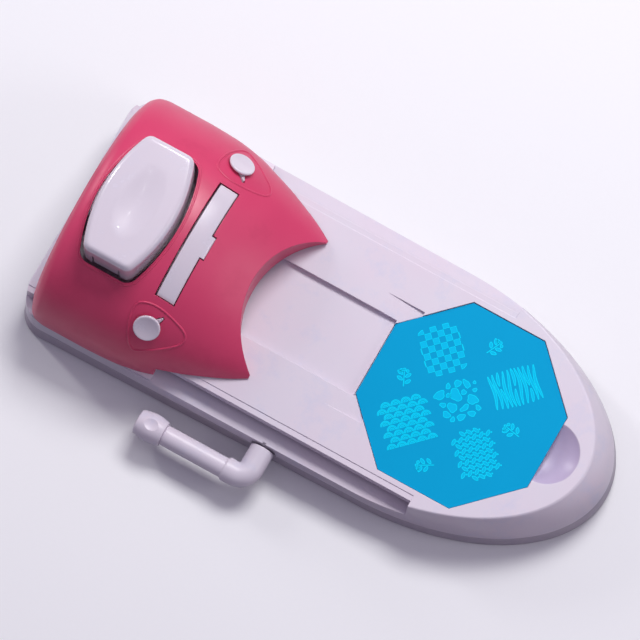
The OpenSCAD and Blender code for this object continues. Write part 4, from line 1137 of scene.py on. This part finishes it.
def checks():
    """Checkerboard with 2.7 mm squares."""
    pitch, gap = 2.7, 0.1
    field = nail_field(17, 20.4)
    shapes = []
    for i in range(-4, 4):
        for j in range(-4, 4):
            if (i + j) % 2 == 0:
                x, y = i * pitch, j * pitch
                square = [(x + gap, y + gap), (x + pitch - gap, y + gap), (x + pitch - gap, y + pitch - gap),
                          (x + gap, y + pitch - gap)]
                shapes.append(clip(square, field))
    return [s for s in shapes if s]


def streak(x, y0, y1, k):
    """Lens-shaped streak along a flowing middle line."""
    left, right = [], []
    for i in range(23):
        t = (i + 0.5) / 23
        y = y0 + (y1 - y0) * t
        middle = x + 0.5 * sin(0.35 * y + 0.9 * k)
        half = 0.55 * sin(pi * t) ** 0.55
        left.append((middle - half, y))
        right.append((middle + half, y))
    return left + right[::-1]


def stripes():
    """Animal stripes: lens-shaped streaks that bow to and fro, every third one in two lengths."""
    shapes = []
    for k in range(-5, 6):
        x = 1.85 * k
        end, middle = 8.2 - 0.008 * x ** 2, 2.6 * sin(1.9 * k)
        ends = [(-end, end)] if k % 3 else [(-end, middle - 0.5), (middle + 0.5, end)]
        shapes += [streak(x, y0, y1, k) for y0, y1 in ends]
    return shapes


def pebbles():
    """Loose stones of uneven sizes: place, two radii and turn of each."""
    spots = [(-7.6, 4.6, 2.3, 1.7, 20), (-3.2, 7.3, 1.2, 0.8, 70), (0.9, 7.4, 1.3, 1.5, 120),
             (4.3, 6.3, 1.1, 2.0, 20), (-4.2, 3.6, 0.9, 0.8, 10), (-1.2, 3.0, 2.0, 2.9, 15),
             (2.3, 3.2, 1.0, 1.0, 60), (6.9, 2.9, 0.9, 0.7, 10), (-7.4, 0.3, 1.2, 0.9, 150),
             (-4.0, -1.7, 1.7, 2.1, 30), (4.9, -0.7, 2.2, 1.9, 140), (-7.0, -4.0, 1.2, 1.6, 35),
             (0.8, -3.2, 2.1, 0.95, 25), (-5.2, -6.6, 1.1, 0.8, 45), (-1.6, -6.6, 1.7, 1.2, 10),
             (3.0, -6.3, 1.5, 1.1, 160), (6.2, -4.6, 0.9, 1.2, 20), (7.6, 6.0, 0.6, 0.6, 0)]
    shapes = []
    for n, (x, y, a, b, turn) in enumerate(spots):
        stone = []
        for u in turns(28):
            r = 1 + 0.12 * sin(3 * u + n) + 0.06 * sin(5 * u + 2.3 * n)
            stone.append((a * r * cos(u), b * r * sin(u)))
        shapes.append(placed(stone, x, y, turn))
    return shapes


def fans():
    """Rows of fans, each a band round a smaller half disc."""
    shapes = []
    for row in range(-4, 4):
        for i in range(-2, 3):
            x, y = 4.3 * i + 2.15 * (row % 2), 2.5 * row + 0.6
            if abs(x) < 8.9:
                outer, inner, disc = (arc(x, y, r, 0, 180, 14) for r in (2.0, 1.45, 0.9))
                shapes += [outer + inner[::-1], disc]
    return shapes


def leaf(x, y, length, turn):
    blade = [(length / 2 * cos(u), 0.65 * sin(u) * abs(sin(u)) ** 0.5) for u in turns(24)]
    return placed(blade, x, y, turn)


def leaves():
    """Rows of pointed leaves that lean to and fro, with a dot between them."""
    shapes = []
    for j in range(-4, 5):
        for i in range(-3, 4):
            x, y = 2.9 * i + 1.45 * (j % 2), 2.4 * j
            if abs(x / 8.2) ** 4 + abs(y / 9.9) ** 4 < 1:
                shapes += [leaf(x, y, 2.9, 50 if j % 2 else -50), circle(x + 1.45, y, 0.26, 10)]
    return shapes


def sprig():
    """Small twig: a stem, paired leaves and three berries."""
    stem = [(-0.12, -3.4), (0.12, -3.4), (0.12, 2.6), (-0.12, 2.6)]
    paired = [leaf(s * 1.65, y + 0.7, 2.7, 35 if s > 0 else 145)
              for y, s in ((-2.1, 1), (-0.8, -1), (0.5, 1), (1.6, -1))]
    return [stem] + paired + [circle(x, y, 0.6, 14) for x, y in ((0, 3.6), (-1.25, 3.3), (1.3, 3.0))]


# Each motif: maker, place on the plate, turn in degrees
MOTIFS = [(checks, -18.2, 16.6, 0), (stripes, 15.4, 17.4, 0), (pebbles, -1.2, 1.4, 0),
          (fans, -16.2, -17.0, 0), (leaves, 15.0, -15.0, 0), (sprig, -26.0, -1.5, -20),
          (sprig, -0.3, 27.4, -70), (sprig, 23.4, 0.6, 35), (sprig, -0.5, -29.0, 75)]


def etched_edge(shape):
    """Points on both sides of a shape's outline, in pairs."""
    pairs = []
    for i, p in enumerate(shape):
        a, b, c = Vector(shape[i - 1]), Vector(p), Vector(shape[(i + 1) % len(shape)])
        d = (b - a).normalized() + (c - b).normalized()
        d = d.normalized() if d.length > 1e-6 else (c - b).normalized()
        side = Vector((-d.y, d.x)) * EDGE_W / 2
        pairs += [tuple(b + side), tuple(b - side)]
    return pairs


class PRESS_OT_plate(bpy.types.Operator):
    """Lays the etched nail patterns on the blue plate"""
    bl_idname = "press.build_plate"
    bl_label = "Plate pattern"

    def execute(self, context):
        points, faces = [], []
        for make, x, y, turn in MOTIFS:
            for shape in make():
                shape = placed(shape, PLATE_X + x, y, FIELD_TURN + turn)
                if area(shape) < 0:
                    shape.reverse()
                n, first = len(shape), len(points)
                faces.append(tuple(range(first, first + n)))
                faces += quads(n, 2, first + n, closed=True, round_rows=False)
                points += at_height(shape, FILL_Z) + at_height(etched_edge(shape), EDGE_Z)
        mesh = bpy.data.meshes.new("plate_pattern")
        mesh.from_pydata(points, [], faces)
        work = bmesh.new()
        work.from_mesh(mesh)
        bmesh.ops.triangulate(work, faces=[f for f in work.faces if len(f.verts) > 4])
        work.normal_update()
        for f in work.faces:
            if f.normal.z < 0:
                f.normal_flip()
        work.to_mesh(mesh)
        work.free()
        mesh.transform(Matrix.Scale(MM, 4))
        # The last colour of each film is its painted sheen
        mesh.materials.append(material(film, "Etched film fill", picked("pattern"), 0.45, "#06CAF2"))
        mesh.materials.append(material(film, "Etched film edge", picked("outline"), 0.4, "#20E6FF"))
        for p in mesh.polygons:
            p.material_index = int(mesh.vertices[p.vertices[0]].co.z > (FILL_Z + EDGE_Z) / 2 * MM)
            p.use_smooth = False
        obj = link("plate_pattern", mesh)
        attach(obj, "base")
        return {"FINISHED"}


# ---------------------------------------------------------------- finishes of the carried-over parts

class PRESS_OT_fittings(bpy.types.Operator):
    """Gives the parts that keep their own shape their materials"""
    bl_idname = "press.finish_fittings"
    bl_label = "Fittings"

    def execute(self, context):
        for make, nodes in (
                (screw_steel, ("tray_screws", "cover_screws")), (tray_abs, ("shaft_bush", "sledge")),
                (shaft_steel, ("lever_shaft", "counter_shaft", "output_shaft")),
                (acetal, ("lever_gear", "counter_gear", "output_gear", "rack_pinion", "drive_rack")),
                (frame_abs, ("carriage_frame", "plunger")), (blade_steel, ("scraper_blade",)),
                (silicone, ("stamp_pad",))):
            for node in nodes:
                dress(frame["nodes"][node], make)
        # The last colour is the film's painted sheen
        dress(frame["nodes"]["pattern_plate"], film, "Steel plate under blue film", picked("plate"), 0.45,
              "#00A8DA")
        return {"FINISHED"}


# ---------------------------------------------------------------- stage, in metres

FLOOR_SIZE = 6.0
FLOOR_STEPS = 24
CAMERA_AIM = (-0.0122, 0.0028, 0.025)
CAMERA_TURN = 29.44
CAMERA_RISE = 76.0
CAMERA_FAR = 5.0
VIEW_WIDTH = 0.261
SENSOR = 36
ON_DECK = (0, 0, 0.02)
ON_CAP = (-0.095, 0, 0.07)
# Each lamp: place, aim, size and watts; the glints only show as two short reflections in the cap's dimple
LAMPS = {
    "far key softbox": ((0.0, 0.68, 1.05), ON_DECK, (0.6, 0.35), 10.4),
    "rear strip softbox": ((-1.0, 0.3, 0.5), ON_DECK, (0.1, 0.5), 3),
    "nose softbox": ((0.95, 0.2, 0.7), ON_DECK, (0.5, 0.3), 1.6),
    "near glint": ((-0.158, 0.112, 1.31), ON_CAP, (0.03, 0.01), 0.07),
    "far glint": ((-0.158, 0.41, 1.25), ON_CAP, (0.03, 0.01), 0.07),
}


def look(obj, place, direction):
    obj.location = place
    obj.rotation_euler = direction.to_track_quat("-Z", "Y").to_euler()


class PRESS_OT_stage(bpy.types.Operator):
    """Sets the pale floor, the soft studio light and the camera"""
    bl_idname = "press.build_stage"
    bl_label = "Stage"

    def execute(self, context):
        scene = bpy.context.scene
        scene.view_settings.view_transform = "Standard"
        # The floor lies a hair under the object
        places = spread(-FLOOR_SIZE / 2, FLOOR_SIZE / 2, FLOOR_STEPS)
        floor_mesh = bpy.data.meshes.new("floor")
        floor_mesh.from_pydata([(x, y, -0.4 * MM) for y in places for x in places], [],
                               quads(FLOOR_STEPS + 1, FLOOR_STEPS + 1, round_rows=False))
        floor = link("floor", floor_mesh)
        dress(floor, backdrop_paper)

        world = bpy.data.worlds.new("Studio")
        scene.world = world
        world.use_nodes = True
        background = world.node_tree.nodes["Background"]
        background.inputs["Color"].default_value = rgba(colour("#E6DEFC"))
        background.inputs["Strength"].default_value = 0.32

        for name, (place, aim, size, watts) in LAMPS.items():
            light = bpy.data.lights.new(name, "AREA")
            light.shape = "RECTANGLE"
            light.size, light.size_y = size
            light.energy = watts
            look(link(name, light), place, Vector(aim) - Vector(place))

        turn, rise = radians(CAMERA_TURN), radians(CAMERA_RISE)
        back = Vector((sin(turn) * cos(rise), -cos(turn) * cos(rise), sin(rise)))
        camera = bpy.data.cameras.new("Camera")
        camera.type = "PERSP"
        camera.sensor_width = SENSOR
        camera.lens = SENSOR * CAMERA_FAR / VIEW_WIDTH
        camera.clip_end = 50
        scene.camera = link("Camera", camera)
        look(scene.camera, Vector(CAMERA_AIM) + back * CAMERA_FAR, -back)
        return {"FINISHED"}


# ---------------------------------------------------------------- panel and registration

class PRESS_PT_panel(bpy.types.Panel):
    """Lists the steps and the values they use"""
    bl_label = "Stamping press"
    bl_idname = "PRESS_PT_panel"
    bl_space_type = "VIEW_3D"
    bl_region_type = "UI"
    bl_category = "Stamping press"

    def draw(self, context):
        for group in GROUPS:
            box = self.layout.box()
            box.label(text=group.capitalize())
            for key in values(group).bl_rna.properties.keys():
                if key not in ("rna_type", "name"):
                    box.prop(values(group), key)
        for step in STEPS:
            self.layout.operator(step.bl_idname)


GROUPS = {"base": BaseValues, "carriage": CarriageValues, "finish": FinishValues}
STEPS = (PRESS_OT_base, PRESS_OT_cover, PRESS_OT_cap, PRESS_OT_springs, PRESS_OT_buttons, PRESS_OT_scraper,
         PRESS_OT_lever, PRESS_OT_plate, PRESS_OT_fittings, PRESS_OT_stage)
CLASSES = tuple(GROUPS.values()) + STEPS + (PRESS_PT_panel,)


def register():
    for c in CLASSES:
        bpy.utils.register_class(c)
    for name, group in GROUPS.items():
        setattr(bpy.types.Scene, "press_" + name, bpy.props.PointerProperty(type=group))


def unregister():
    for name in GROUPS:
        delattr(bpy.types.Scene, "press_" + name)
    for c in reversed(CLASSES):
        bpy.utils.unregister_class(c)


def main():
    register()
    for step in STEPS:
        group, action = step.bl_idname.split(".")
        getattr(getattr(bpy.ops, group), action)()


if __name__ == "__main__":
    main()
